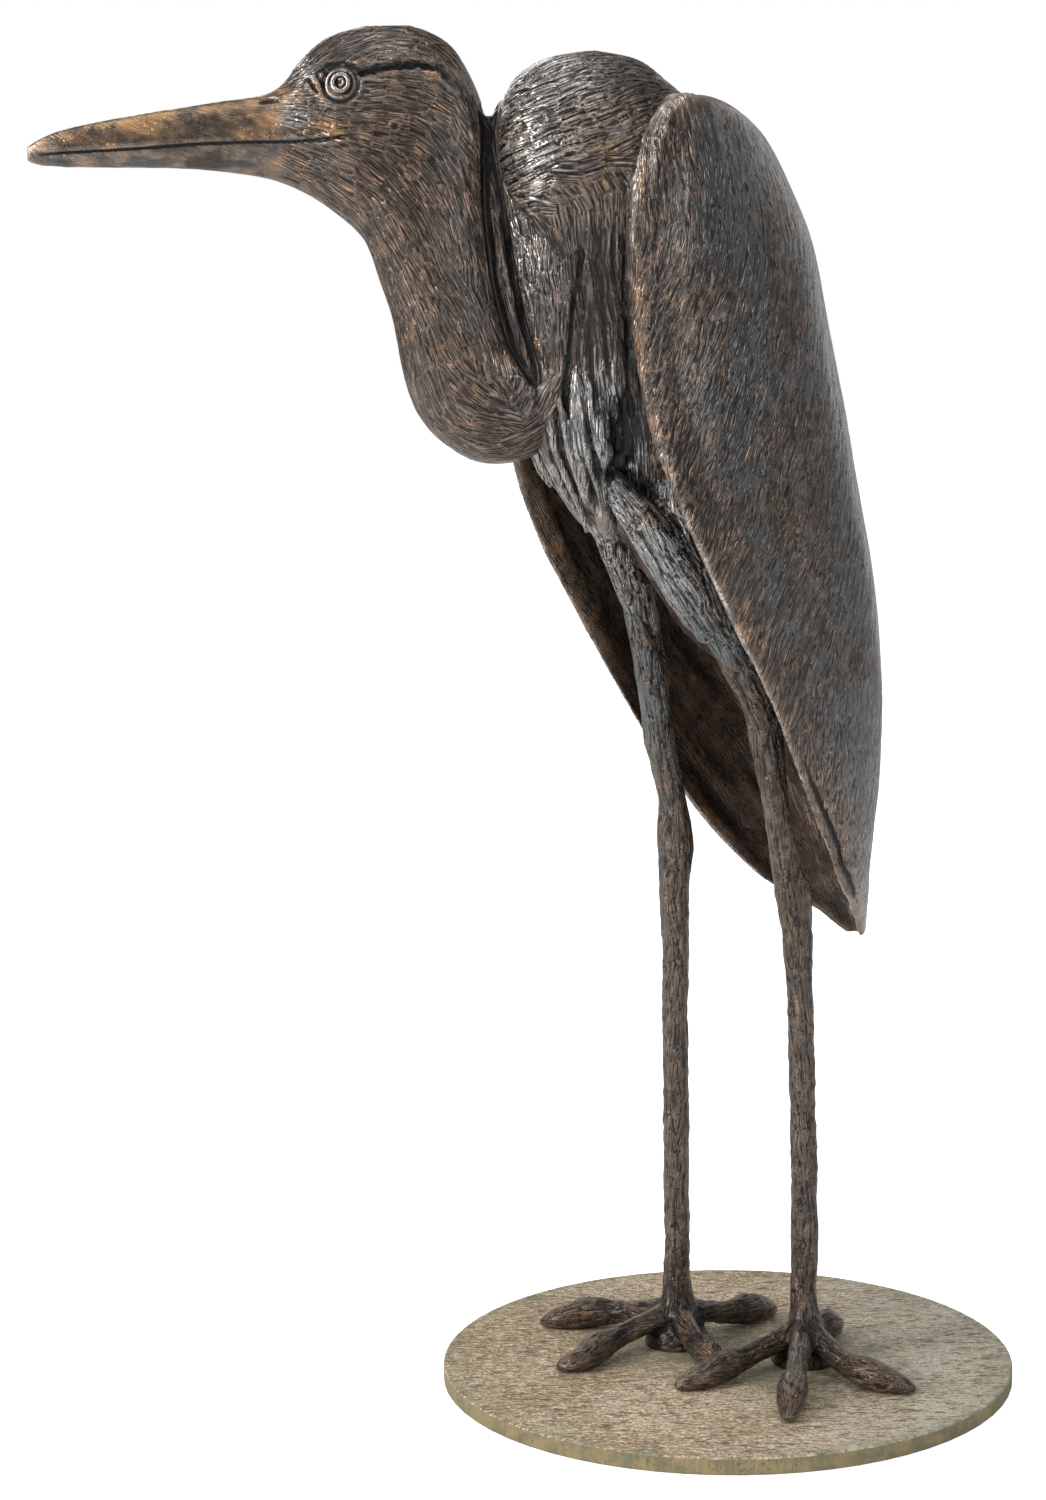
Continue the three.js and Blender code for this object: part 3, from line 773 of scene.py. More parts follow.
def make_patina_group():
    """Colour over colour, each laid on by how proud of its surroundings a point stands."""
    graph, given, out = make_group(
        "bronze patina",
        [
            ("Place", "v"), ("Height", "f"), ("Fine", "f"), ("Broad", "f"), ("Dirt", "f"),
            ("Ochre", "f"), ("Polish", "f"), ("Bloom", "f"), ("Warmth", "f"),
        ],
        [("Color", "c"), ("Roughness", "f")],
    )  # fmt: skip
    big = graph.noise(given["Place"], PATCHES, 4.0, 0.6, 0.4)
    small = graph.noise(given["Place"], BLOTCHES, 4.0, 0.65, 0.3)
    speck = graph.noise(given["Place"], SPECKS, 2.0, 0.5)
    ridge = graph.plus(graph.times(given["Height"], 0.8), graph.times(given["Fine"], 0.35))
    ridge = graph.plus(ridge, graph.times(given["Broad"], 0.12))
    ridge = graph.minus(ridge, graph.times(given["Dirt"], 0.8))
    ground = graph.mix(graph.ease(small, 0.3, 0.7), BROWN, TAN)
    colour = graph.mix(graph.ease(ridge, 0.05, 0.9), DARK, ground)
    bloom = graph.ease(graph.plus(big, graph.times(small, 0.5)), 0.64, 0.80)
    bloom = graph.times(bloom, given["Bloom"], graph.ease(ridge, 0.1, 0.6), clamp=True)
    colour = graph.mix(bloom, colour, BLOOM)
    warm = graph.plus(graph.times(small, 0.65), graph.times(speck, 0.35))
    warm = graph.times(graph.ease(warm, 0.50, 0.70), graph.ease(ridge, 0.35, 0.8))
    colour = graph.mix(graph.times(warm, given["Warmth"], clamp=True), colour, COPPER)
    worn = graph.plus(graph.times(small, 0.6), graph.times(big, 0.4))
    tawny = graph.mix(graph.ease(worn, 0.42, 0.58), UMBER, OCHRE)
    tawny = graph.mix(graph.ease(ridge, -0.1, 0.5), DARK, tawny)
    colour = graph.mix(given["Ochre"], colour, tawny)
    # Pale bare metal is laid on the polished ridges: worn metal, and also a painted sheen that stands in for
    # highlights.
    shine = graph.times(given["Polish"], graph.ease(small, 0.25, 0.6))
    colour = graph.cover(colour, graph.times(shine, 0.8), graph.ease(ridge, 0.3, 0.9), BARE_AND_SHEEN)
    # The dark mask laid on here is dirt on some parts, and painted shade in creases, pockets and gaps on
    # others.
    colour = graph.cover(colour, given["Dirt"], 0.6, DARK)
    rough = graph.plus(0.40, graph.times(graph.minus(small, 0.5), 0.35))
    rough = graph.minus(rough, graph.times(graph.ease(ridge, 0.1, 0.6), 0.08))
    rough = graph.minus(rough, graph.times(shine, 0.14))
    rough = graph.plus(rough, graph.times(given["Dirt"], 0.2))
    graph.feed(out["Color"], colour)
    graph.feed(out["Roughness"], graph.maths("MAXIMUM", rough, 0.17))
    return graph.tree


PATINA = make_patina_group()
print("made the group", PATINA.name, "with", len(PATINA.nodes), "nodes")

# %% [markdown]
# A cast skin is never quite even. Sand, wax and weather leave a fine grain in it, and gas leaves
# small pits. One more group gives the height of both, and a mask of the pits alone.

# %% Node group: cast grain


def make_grain_group():
    graph, given, out = make_group(
        "cast grain", [("Place", "v"), ("Scale", "f")], [("Height", "f"), ("Pits", "f")]
    )
    grain = graph.noise(given["Place"], given["Scale"], 4.0, 0.6)
    cells = graph.node("TexVoronoi", feature="F1")
    graph.feed(cells.inputs["Vector"], given["Place"])
    graph.feed(cells.inputs["Scale"], graph.times(given["Scale"], 0.6))
    pits = graph.ease(cells.outputs["Distance"], 0.28, 0.0)
    graph.feed(out["Height"], graph.minus(grain, graph.times(pits, 0.5)))
    graph.feed(out["Pits"], pits)
    return graph.tree


GRAIN = make_grain_group()
print("node groups:", [tree.name for tree in bpy.data.node_groups])

# %% [markdown]
# ## The bronze itself
# Patinated bronze is metal under a thin dark skin and wax. We use one metallic shader with a clear
# coat for the wax. The groups above give it colour, roughness and strokes, each part of the bird
# with its own pitch and warmth.

# %% Material: waxed bronze
GRAINS = 420.0  # so many in a metre


def bronze(name, pitch, length, depth, warmth, grain_depth=0.00012, pitted=0.15):
    """Strokes with a pitch and length in millimetres and a depth in metres, over a grained skin."""
    material, graph, shader = new_material(name)
    place = graph.node("TexCoord").outputs["Object"]
    relief, finish, marks = (graph.split(graph.layer(label)) for label in ("relief", "finish", "marks"))
    height = graph.place(COMB, Flow=graph.layer("flow"), Pitch=pitch, Length=length)["Height"]
    combed = graph.minus(1.0, graph.times(marks[2], 0.85), clamp=True)
    height = graph.plus(graph.times(height, combed), graph.times(marks[2], 0.7))
    cast = graph.place(GRAIN, Place=place, Scale=GRAINS)
    height = graph.minus(height, graph.times(cast["Pits"], pitted))
    look = graph.place(
        PATINA, Place=place, Height=height, Fine=relief[0], Broad=relief[1], Dirt=marks[0],
        Ochre=finish[0], Polish=finish[1], Bloom=finish[2], Warmth=graph.plus(warmth, marks[1]),
    )  # fmt: skip
    raised = graph.plus(graph.times(height, depth), graph.times(cast["Height"], grain_depth))
    dress(graph, shader, look["Color"], look["Roughness"], raised)
    shader.inputs["Metallic"].default_value = 0.72
    shader.inputs["Coat Weight"].default_value = 0.35
    shader.inputs["Coat Roughness"].default_value = 0.28
    return material


# %% [markdown]
# ## From net to piece
# When a part is carved we measure its relief: how far each point stands above its surroundings, at
# a small and at a large scale. These masks are kept on the mesh, because rubbing and dirt follow
# them on the real cast.

# %% Thin out a carved net
heron_low, heron_high = (np.array(corner) * 1000 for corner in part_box("heron"))


def thin_out(name, net, layers, most):
    """Collapses the flattest squares until at most that many triangles are left."""
    dense = plain_object(name, net.points, net.squares)
    for label, values in layers.items():
        kept = dense.data.attributes.new(label, "FLOAT_VECTOR", "POINT")
        kept.data.foreach_set("vector", values.astype(np.float32).ravel())
    if 2 * len(net.squares) > most:
        collapse = dense.modifiers.new("thin out", "DECIMATE")
        collapse.ratio = most / (2 * len(net.squares))
    dense.modifiers.new("triangles", "TRIANGULATE")
    thinned = dense.evaluated_get(bpy.context.evaluated_depsgraph_get()).to_mesh()
    points, faces = read_mesh(thinned, 3)
    read = {}
    for label in layers:
        values = np.empty(points.size, np.float32)
        thinned.attributes[label].data.foreach_get("vector", values)
        read[label] = values.reshape(-1, 3)
    bpy.data.meshes.remove(dense.data)
    return points, faces, read


def point_normals(points, faces):
    p = points[faces]
    face = np.cross(p[:, 1] - p[:, 0], p[:, 2] - p[:, 0])
    total = np.stack(
        [sum(np.bincount(faces[:, c], face[:, k], len(points)) for c in range(3)) for k in range(3)], -1
    )
    return total / np.maximum(np.linalg.norm(total, axis=1), 1e-9)[:, None]


print("the solid's box:", heron_low.round(1), heron_high.round(1))

# %% [markdown]
# The finish goes on with the mesh: three layers of numbers, one for the relief, one for ochre, polish
# with painted sheen and bloom, and one for dirt with painted shade, warmth and calm. The fourth, the flow
# of the strokes, is kept on the corners, because two patches that meet need different numbers at the same
# point.

# %% Turn a carved net into a piece
FINE_RELIEF, BROAD_RELIEF = 0.35, 1.5  # millimetres that count as fully proud
EYE_METAL = {"relief": [0, 0.4, 0], "finish": [0, 0.8, 0]}  # smooth and polished


def make_piece(names, net, comb, finish, material, marks, most, in_place=False, extra=(), cut=None):
    """Measures a carved net's relief, thins it out, stands it in place and gives it its finish.

    `finish` holds ochre, polish with painted sheen, and bloom; `marks` holds dirt with painted shade,
    warmth and calm. A net with too many triangles for one piece is cut in two where `cut` says, with
    one shading across the cut.
    """
    normals = net.normals()
    near = net.blur(net.points, 8)
    wide = net.blur(near, 60)
    fine = np.einsum("ij,ij->i", net.points - near, normals) / FINE_RELIEF
    broad = np.einsum("ij,ij->i", near - wide, normals) / BROAD_RELIEF
    spread = np.ones(len(fine))
    layers = {
        "relief": np.stack([np.clip(fine, -1, 1), np.clip(broad, -1, 1), 0 * spread], -1),
        "finish": np.clip(np.stack([value * spread for value in finish], -1), 0, 1),
        "marks": np.clip(np.stack([value * spread for value in marks], -1), 0, 1),
    }
    layers["marks"][:, 2] = np.maximum(layers["marks"][:, 2], 0.5 * comb.seam)
    points, faces, layers = thin_out(names[0], net, layers, most)
    patch, _, _ = comb.nearest(points, point_normals(points, faces))
    flow = comb.flow(points[faces], np.repeat(patch[faces[:, :1]], 3, axis=1))
    points = points if in_place else settle(points)
    for more_points, more_faces, darkening in extra:
        faces = np.vstack([faces, more_faces + len(points)])
        points = np.vstack([points, settle(more_points)])
        for label, plain in {**EYE_METAL, "marks": [darkening, 0, 1]}.items():
            layers[label] = np.vstack([layers[label], np.tile(np.array(plain, float), (len(more_points), 1))])
    flow = np.vstack([flow, np.zeros((len(faces) - len(flow), 3, 3))])
    points = np.clip(points, heron_low, heron_high) / 1000
    smooth = point_normals(points, faces)
    part = cut(points[faces].mean(1) * 1000) if cut else np.zeros(len(faces), int)
    for number, name in enumerate(names):
        chosen = part == number
        used, own = np.unique(faces[chosen], return_inverse=True)
        piece = plain_object(name, points[used], own.reshape(-1, 3))
        mesh = piece.data
        mesh.shade_smooth()
        kept = [(label, "POINT", values[used]) for label, values in layers.items()]
        for label, domain, values in [*kept, ("flow", "CORNER", flow[chosen])]:
            values = np.ascontiguousarray(values, np.float32).ravel()
            mesh.attributes.new(label, "FLOAT_VECTOR", domain).data.foreach_set("vector", values)
        if cut:
            mesh.normals_split_custom_set_from_vertices(smooth[used].tolist())
        mesh.materials.append(material)
        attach(piece, "root")
        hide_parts("heron")
        print(f"{name}: {len(mesh.polygons)} triangles, {len(comb.roots)} patches in its net")


# %% [markdown]
# ## Lines to cut along
# A groove is pressed in with one pull of a tool: deepest along its middle and running out at both
# ends. So a groove here is a line and a width. It works on flat points, for the side of the face, and
# on points in space.

# %% Grooves


def distance_to(line, points):
    """How far points lie from a line through points, and their share along it."""
    line = np.asarray(line, float)
    best, along = np.full(len(points), np.inf), np.zeros(len(points))
    for k, (start, end) in enumerate(zip(line[:-1], line[1:])):
        run = end - start
        share = np.clip((points - start) @ run / (run @ run), 0, 1)
        away = np.linalg.norm(points - start - share[:, None] * run, axis=1)
        closer = away < best
        best[closer] = away[closer]
        along[closer] = (k + share[closer]) / (len(line) - 1)
    return best, along


def groove(line, points, width, taper=0.15):
    """1 in the middle of a groove along a line, fading to 0 at its sides and at its ends."""
    away, along = distance_to(line, points)
    ends = smoothstep(along, 0, taper) * smoothstep(1 - along, 0, taper) if taper else 1
    return bell(away, 0, width) * ends


print("middle of a test groove:", groove([[0, 0], [10, 0]], np.array([[5.0, 0.0]]), 1.0)[0])

# %% [markdown]
# ## The head and neck
# In profile the head carries most of the character: a combed crown over a dark crest groove, a
# round eye in rings, three gouges before it, the nostril and the long mouth. All of these are
# lines in the profile plane, cut into both sides.

# %% Fuse the head and neck


def plume_twist(share, angle):
    """The nape plume is two strands wound round each other."""
    return 1 + 0.2 * np.cos(2 * angle + 26 * share)


def plume_gap(z):
    """The shoulders stand back a little from the plume, so that a dark gap shows beside it."""
    return 5 * smoothstep(z, 690, 715) * (1 - smoothstep(z, 800, 860))


def off_plume(net):
    """How far each point lies from the middle of the plume."""
    return distance_to(np.array(NAPE_PLUME)[:, :3], in_profile(net.points))[0]


plume_path = [[*on_neck(forward, z, left), radius] for forward, z, left, radius in NAPE_PLUME]
head_net = fuse(
    "head and neck",
    [
        slices([[z, rear, front - plume_gap(z), half] for z, rear, front, half in NECK_FALL], level_on_neck),
        slices(NECK_RISE, level_on_neck),
        slices(HEAD, on_neck, steps=300),
        sweep(plume_path, sides=28, steps=260, swell=plume_twist),
    ],
    cell=0.95,
)
profile = in_profile(head_net.points)
on_bill = smoothstep(profile[:, 0], 186, 206)
on_plume = head_net.blur(bell(off_plume(head_net), 0, 10, 6), 2)
head_net.relax(18, (1 - on_bill) * (1 - on_plume))
head_net.relax(2)

# %% Carve the face
EYE = (160.0, 896.5)  # forward and height, as all the lines of the face
MOUTH = [
    [358, 851.5], [322, 853.5], [294, 855.1], [251, 858.3],
    [222, 859.5], [193, 859.8], [170, 861.5], [149, 864.8],
]  # fmt: skip
CREST = [
    [150.6, 901.9], [140, 905], [129.5, 906.7], [110.3, 908.5],
    [96.3, 905.4], [83.8, 893.1], [77.5, 883], [73, 868],
]  # fmt: skip
BROW = [[176, 902], [166.1, 908.6], [156.6, 909.8], [149, 905.5], [143, 901]]
NOSTRIL = [[214, 884.1], [206.5, 885.1], [199, 885.9]]
GOUGES = [[[181, 900], [173.8, 889]], [[176, 904], [169, 892]], [[171.5, 906], [167, 900]]]
LIP = [[178, 858], [160, 860.5], [149.5, 862.5]]
KNOT = (125.0, 870.0)  # a small swirl in the strokes of the cheek
NECK_CREASE = [  # where the neck lies against the breast
    [27, -178, 800], [25, -177, 787], [16, -174, 760], [10, -173, 724], [3, -170, 682], [0, -168, 662],
]  # fmt: skip


def face_marks(net):
    """How deep each point is cut by the lines of the face, and how dark they paint it."""
    profile = in_profile(net.points)
    flat = profile[:, :2]
    head = smoothstep(profile[:, 0], 66, 74) * smoothstep(profile[:, 1], 790, 810)
    from_eye = np.linalg.norm(flat - EYE, axis=1)
    from_knot = np.linalg.norm(flat - KNOT, axis=1)
    away, along = distance_to(CREST, flat + np.stack([0 * flat[:, 0], 0.8 * lumps(net.points, 2.5, 6)], -1))
    crest = bell(away, 0, 2.1) * smoothstep(along, 0, 0.08) * (1 - 0.8 * smoothstep(along, 0.45, 0.68))
    dark = [(3.4, crest), (1.4, groove(BROW, flat, 1.4)), (1.4, groove(NOSTRIL, flat, 1.1, 0.3))]
    dark += [(1.8, groove(line, flat, 0.9, 0.3)) for line in GOUGES]
    dark += [(1.7, groove(MOUTH, flat, 0.85, 0.08)), (1.4, bell(from_eye, 11.2, 1.2))]
    cut = sum(depth * line for depth, line in dark)
    darkening = np.clip(sum(line for _, line in dark), 0, 1)
    cut -= 1.5 * groove(np.array(CREST) + [2.0, 5.5], flat, 4.5, 0.2)
    cut -= 0.6 * groove(np.array(MOUTH) + [0, 2.4], flat, 1.6, 0.05)
    cut -= 0.5 * groove(np.array(NOSTRIL) + [0, 2.8], flat, 1.2, 0.2)
    cut -= 0.8 * groove(LIP, flat, 1.2, 0.3)
    cut -= 0.6 * bell(from_eye, 14.5, 1.5) * (1 - smoothstep(flat[:, 1], EYE[1], EYE[1] + 6))
    cut += 1.2 * bell(from_eye, 0, 9.5, 6)
    cut -= 0.7 * bell(from_knot, 3.2, 1.1) - 0.4 * bell(from_knot, 0, 1.6)
    return cut * head, darkening * head


cut, head_lines_and_shade = face_marks(head_net)
in_crease = groove(NECK_CREASE, head_net.points, 2.2)
beside_plume = bell(off_plume(head_net), 7.5, 2.2) * smoothstep(head_net.points[:, 2], 690, 720)
cut += 3.0 * in_crease + 1.6 * beside_plume
# Painted shade: the crease against the breast and the gap beside the plume are darkened in colour.
head_lines_and_shade = np.maximum(head_lines_and_shade, np.maximum(0.8 * in_crease, 0.9 * beside_plume))
head_net.points = head_net.points - head_net.normals() * cut[:, None]
print("face carved, deepest", round(float(cut.max()), 2), "mm")

# %% [markdown]
# The strokes on the neck change direction slowly: back over the crown, level on the cheek, then
# slanting down and back along the throat, and round the bend at the bottom. A short table of places
# and slants holds that, and every patch takes its slant from the nearest ones.

# %% Comb the head and neck
SLANTS = [  # forward, height, degrees below level, going back
    [165, 915, -35], [150, 925, -20], [125, 930, 0], [100, 925, 25], [85, 905, 50], [72, 880, 70],
    [140, 885, 0], [120, 885, 5], [100, 880, 30], [85, 865, 60], [150, 872, 5], [165, 875, 15],
    [125, 865, 12], [105, 855, 38], [180, 845, 20], [160, 830, 30], [150, 815, 48], [140, 835, 36],
    [120, 840, 46], [100, 840, 56], [80, 830, 72], [150, 800, 58], [130, 800, 56], [105, 800, 60],
    [80, 800, 76], [65, 780, 85], [135, 760, 66], [110, 760, 62], [85, 760, 60], [62, 750, 72],
    [124, 725, 88], [110, 700, 72], [85, 700, 42], [60, 690, 22], [110, 675, 50], [80, 660, 12],
    [50, 665, -20], [40, 700, -62], [30, 740, 88], [20, 790, 88], [10, 840, 85], [50, 720, 80],
]  # fmt: skip


def neck_direction(points, up):
    """The table's slants, each counting more the nearer its place is."""
    profile = in_profile(points)
    table = np.array(SLANTS, float)
    away = np.linalg.norm(profile[:, None, :2] - table[None, :, :2], axis=2)
    weight = 1 / (away + 4) ** 4
    turn = np.radians(table[:, 2]) * 2
    slant = np.arctan2(weight @ np.sin(turn), weight @ np.cos(turn)) / 2
    return on_neck(-np.cos(slant), -np.sin(slant), 0 * slant) - on_neck(0, 0, 0)


head_comb = Comb(head_net, neck_direction, 16, 3, wander=0.05)
profile = in_profile(head_net.points)
flat = profile[:, :2]
from_eye = np.linalg.norm(flat - EYE, axis=1)
bare = np.maximum(smoothstep(profile[:, 0], 188, 202), bell(from_eye, 0, 13, 6))
on_fall = (1 - smoothstep(profile[:, 0], 46, 58)) * smoothstep(profile[:, 1], 680, 720)
crown = smoothstep(flat[:, 1], 903, 912)
depth = (1 - bare) * (1 - on_plume) * (1 + 0.35 * crown + on_fall)
carved = depth * (0.2 * head_comb.strokes(3.6, 34) + 0.12 * lumps(head_net.points, 9, 5))
carved += smoothstep(profile[:, 0], 190, 205) * 0.14 * lumps(head_net.points, 6, 8)
head_net.points = head_net.points + head_net.normals() * carved[:, None]
print("patches on the head and neck:", len(head_comb.roots))

# %% [markdown]
# The eye is a small disc between two raised wires, with a bent scrap of metal for the pupil. It is
# finer than the net, so it is built from rings of its own and set into the socket.

# %% The eye in its rings


def torus(radius, wire, start=0.0, stop=2 * np.pi, rise=0.0, middle=(0, 0), steps=72):
    """A ring of round wire, or a part of one, from one angle to another."""
    angle = np.linspace(start, stop, steps + 1)
    path = [[middle[0] + radius * math.cos(a), middle[1] + radius * math.sin(a), rise, wire] for a in angle]
    return sweep(path, sides=14, steps=steps, across=(0, 0, 1))


def set_in_head(shell, hand):
    """Turns a shell to face sideways and sets it in the socket on that hand."""
    points, faces = shell
    tilt, squint = math.pi / 2 - 0.15, -0.3
    x, y, z = points.T
    x, z = x * math.cos(tilt) + z * math.sin(tilt), z * math.cos(tilt) - x * math.sin(tilt)
    x, y = x * math.cos(squint) - y * math.sin(squint), x * math.sin(squint) + y * math.cos(squint)
    left = hand * (x + side_of_head(*EYE))
    return closed(on_neck(EYE[0] - y, EYE[1] + z, left), faces)


eyes = []
for hand in (1, -1):
    lid = torus(8.7, 0.95, 2.6, 6.6, middle=(0.3, -0.2))
    iris = torus(5.3, 1.55, rise=0.7, middle=(-0.6, 0.6))
    pupil = torus(1.9, 0.95, -0.3, 3.9, rise=1.2, middle=(-0.7, 0.8), steps=40)
    disc = ball((0, 0, -1.2), 8.4, 0.1)
    shells = [(lid, 0), (iris, 0), (pupil, 0), (disc, 1)]
    eyes += [(*set_in_head(shell, hand), darkening) for shell, darkening in shells]
print("eye parts:", len(eyes))

# %% Finish the head and neck
THROAT = [[200, 845], [165, 832], [140, 812], [128, 780]]


def spot(flat, forward, height, wide, high):
    """A soft oval spot on the side of the face."""
    return bell(flat[:, 0], forward, wide) * bell(flat[:, 1], height, high)


lores = spot(flat, 190, 874, 9, 6)  # the bare skin between the bill and the eye
cheek = spot(flat, 168, 868, 20, 5)
forehead = spot(flat, 182, 908, 9, 8)
throat = bell(distance_to(THROAT, flat)[0], 0, 9)
along_bill = np.stack([profile[:, 0] / 4, flat[:, 1], profile[:, 2]], -1)  # stains drawn out along it
patchy = smoothstep(lumps(along_bill, 5, 9) + 0.5 * lumps(along_bill, 2, 10), -0.2, 0.35)
on_bill = smoothstep(profile[:, 0] + 9 * lumps(head_net.points, 8, 21), 184, 212)  # with a ragged start
upper = smoothstep(flat[:, 1], 856.5, 859.5)
forwards, _, tops, _ = np.array(HEAD).T
below_ridge = np.interp(profile[:, 0], forwards, tops) - flat[:, 1]
upper_ochre = 0.35 + 0.65 * np.maximum(patchy, 1 - smoothstep(below_ridge, 3, 9))
ochre = on_bill * (upper * upper_ochre + (1 - upper) * 0.25 * patchy)
ochre = np.maximum(ochre, 0.8 * cheek) * (1 - 0.8 * lores) * (1 - 0.6 * smoothstep(profile[:, 0], 335, 356))
bill_grime = 0.45 * on_bill * (1 - 0.7 * patchy) * (1 - 0.3 * upper)
ochre = np.maximum(ochre, 0.6 * throat * smoothstep(lumps(head_net.points, 5, 9), 0, 0.3))
# The neck's fall and the forehead are polished pale, which also paints their highlights as sheen.
fall_polish_and_sheen = on_fall * smoothstep(profile[:, 1], 740, 780) * smoothstep(profile[:, 0], 20, 40)
polish_and_sheen = np.maximum(np.maximum(forehead, 0.9 * lores), 0.8 * fall_polish_and_sheen)
polish_and_sheen = np.maximum(polish_and_sheen, 0.1 * smoothstep(profile[:, 0], 195, 215))
bloom = np.clip(lores + 0.25 + 0.3 * on_fall + 0.5 * on_bill * (1 - upper), 0, 1) * (1 - ochre)


def below_jaw(middles):
    """0 for the head and 1 for the neck, cut apart on a slant below the jaw."""
    forward, height, _ = in_profile(middles).T
    return (height < 806 + 0.6 * (60 - forward)).astype(int)


make_piece(
    ["heron_head", "heron_neck"],
    head_net,
    head_comb,
    finish=(ochre, polish_and_sheen, bloom),
    material=bronze("bronze_neck", pitch=2.1, length=26.0, depth=0.0015, warmth=0.8),
    marks=(np.maximum(head_lines_and_shade, bill_grime), 0.2 * on_plume, bare),
    most=350000,
    extra=eyes,
    cut=below_jaw,
)

# %% [markdown]
# ## The body
# The mantle is cut with deep wavy strokes that shine as if wet; polish also paints a pale sheen on
# their ridges. The strokes sweep back over the hump, run down the breast, and follow the thighs. Below
# the breast hangs a tuft of long strands.

# %% Fuse the trunk and the tuft
TUFT_X = -9  # the tuft's middle
STRANDS = 14
STRAND_TOP = 742
STRAND_RADII = [1.5, 3.0, 3.6, 3.8, 3.8, 3.6, 3.2, 2.6, 1.0]
STRAND_SWINGS = [-1.5, -0.7, 0.1, 0.6, 1.5]  # round the tuft from its right side to its left
STRAND_ENDS = [664, 630, 604, 607, 622]  # how far down they reach there
STUB = [[8, -146, 640, 3], [9, -140, 624, 6], [8, -134, 612, 6.5], [7, -129, 604, 3]]


def place_level(z, y, x):
    return np.stack([x, y, z], -1)


def tuft_strands(seed=4):
    """Long strands down the front of the tuft, their ends ragged, and a blunt stub beside them."""
    rng = np.random.default_rng(seed)
    table = np.array(BREAST_TUFT, float)[::-1]
    made = [sweep(STUB)]
    for k in range(STRANDS):
        swing = -1.5 + 3.0 * k / (STRANDS - 1)
        lowest = np.interp(swing, STRAND_SWINGS, STRAND_ENDS) + rng.uniform(0, 14)
        stations = []
        for share, radius in zip(np.linspace(0, 1, len(STRAND_RADII)), STRAND_RADII):
            z = STRAND_TOP + (lowest - STRAND_TOP) * share
            front, back, half = (np.interp(max(z, 616), table[:, 0], table[:, c]) for c in (1, 2, 3))
            angle = swing + 0.07 * math.sin(5 * share + 2.1 * k) + 0.10 * share
            middle, deep = (front + back) / 2, (back - front) / 2
            thick = radius + 0.5 * math.sin(9 * share + 1.7 * k)
            x, y = (half - 1.6) * math.sin(angle) + TUFT_X, middle - (deep - 1.6) * math.cos(angle)
            stations.append([x, y, z, 0.8 * thick, 1.1 * thick])
        made.append(sweep(stations, sides=16, steps=50))
    return made


def tuft_place(z, y, x):
    return place_level(z, y, x + TUFT_X)


body_net = fuse(
    "body",
    [
        slices(TRUNK, place_level, sides=110),
        slices([[z, front + 4, back, half - 4] for z, front, back, half in BREAST_TUFT], tuft_place),
        *tuft_strands(),
    ],
    cell=1.15,
)
x, y, z = body_net.points.T
ragged_top = 740 + 8 * lumps(body_net.points / [1, 1, 2], 7, 51)
on_tuft = smoothstep(ragged_top - z, 0, 34) * (y < -112) * (np.abs(x - TUFT_X) < 46)
on_tuft = body_net.blur(on_tuft, 4)
body_net.relax(14, 1 - on_tuft)
body_net.relax(1)

# %% Comb and carve the body
FOLDS = [  # depth, width, line: grooves down the breast and between the mantle and the wing
    [3.5, 2.0, NECK_CREASE],
    [2.2, 1.7, [[23, -166, 752], [22, -165, 738], [20, -161, 709], [21, -158, 680]]],
    [1.9, 1.5, [[34, -167, 772], [32, -163, 749], [31, -160, 728], [31, -157, 700]]],
    [1.8, 1.3, [[43, -167, 812], [42, -166, 799], [40, -164, 783], [41, -162, 762]]],
    [2.4, 1.9, [[52, -164, 815], [53, -162, 793], [55, -159, 761], [54, -155, 729], [53, -152, 700]]],
    [2.6, 2.0, [[43, -153, 752], [42, -151, 739], [39, -147, 704], [36, -142, 680]]],
    [-2.2, 2.4, [[30, -172, 785], [27, -170, 767], [17, -166, 732], [17, -164, 716], [20, -162, 695]]],
    [1.1, 2.4, [[-26, -196, 812], [10, -199, 823], [22, -199, 841], [38, -185, 842], [50, -168, 849]]],
]
POCKET = [[36, -150, 692], [33, -142, 676], [28, -138, 660], [21, -146, 648]]  # by tuft, thigh and wing


def mantle_edge(points):
    """How far each point lies above the ragged lower edge of the mantle."""
    return points[:, 2] - np.interp(np.abs(points[:, 0]), [0, 10, 22, 38, 50], [818, 824, 841, 844, 850])


def body_direction(points, up):
    """Round the hump from the front, over its top backwards, and down the breast."""
    side = np.where(points[:, 0] > -30, 1, -1)
    level = np.stack([-up[:, 1] * side, up[:, 0] * side, 0.34 * np.ones(len(up))], -1)
    top = np.clip(up[:, 2:], 0, 1) ** 2
    over = (1 - top) * level + top * np.stack([0.35 * side, 0 * side + 1, 0 * side], -1)
    mantle = smoothstep(mantle_edge(points), -28, 12)[:, None]
    return mantle * over + (1 - mantle) * np.array([0, 0.1, -1])


body_comb = Comb(body_net, body_direction, 17, 7, wander=0.06)
x, y, z = body_net.points.T
shown = 1 - smoothstep(y, -50, -20) * (1 - smoothstep(z, 810, 850)) * smoothstep(z, 560, 620)
mantle = smoothstep(mantle_edge(body_net.points), -8, 4)
off_pocket, _ = distance_to(POCKET, body_net.points)
in_pocket = bell(off_pocket, 0, 8.5 + 3.5 * lumps(body_net.points, 9, 15), 1.8)
beside_plume = bell(off_plume(body_net), 7.5, 3.0) * smoothstep(z, 690, 720)
folds = [(depth, groove(line, body_net.points, width, 0.12)) for depth, width, line in FOLDS]
carved = (0.35 + 0.1 * mantle) * body_comb.strokes(4.0, 60) + 0.2 * body_comb.strokes(3.0, 34, 3)
carved *= 1 - 0.6 * on_tuft
carved += (1 - mantle) * 1.3 * lumps(body_net.points / [1, 1, 9], 8, 2) * (1 - on_tuft)
carved = shown * (carved + 0.5 * lumps(body_net.points, 22, 4)) - 6.0 * in_pocket
carved -= sum(depth * line for depth, line in folds)
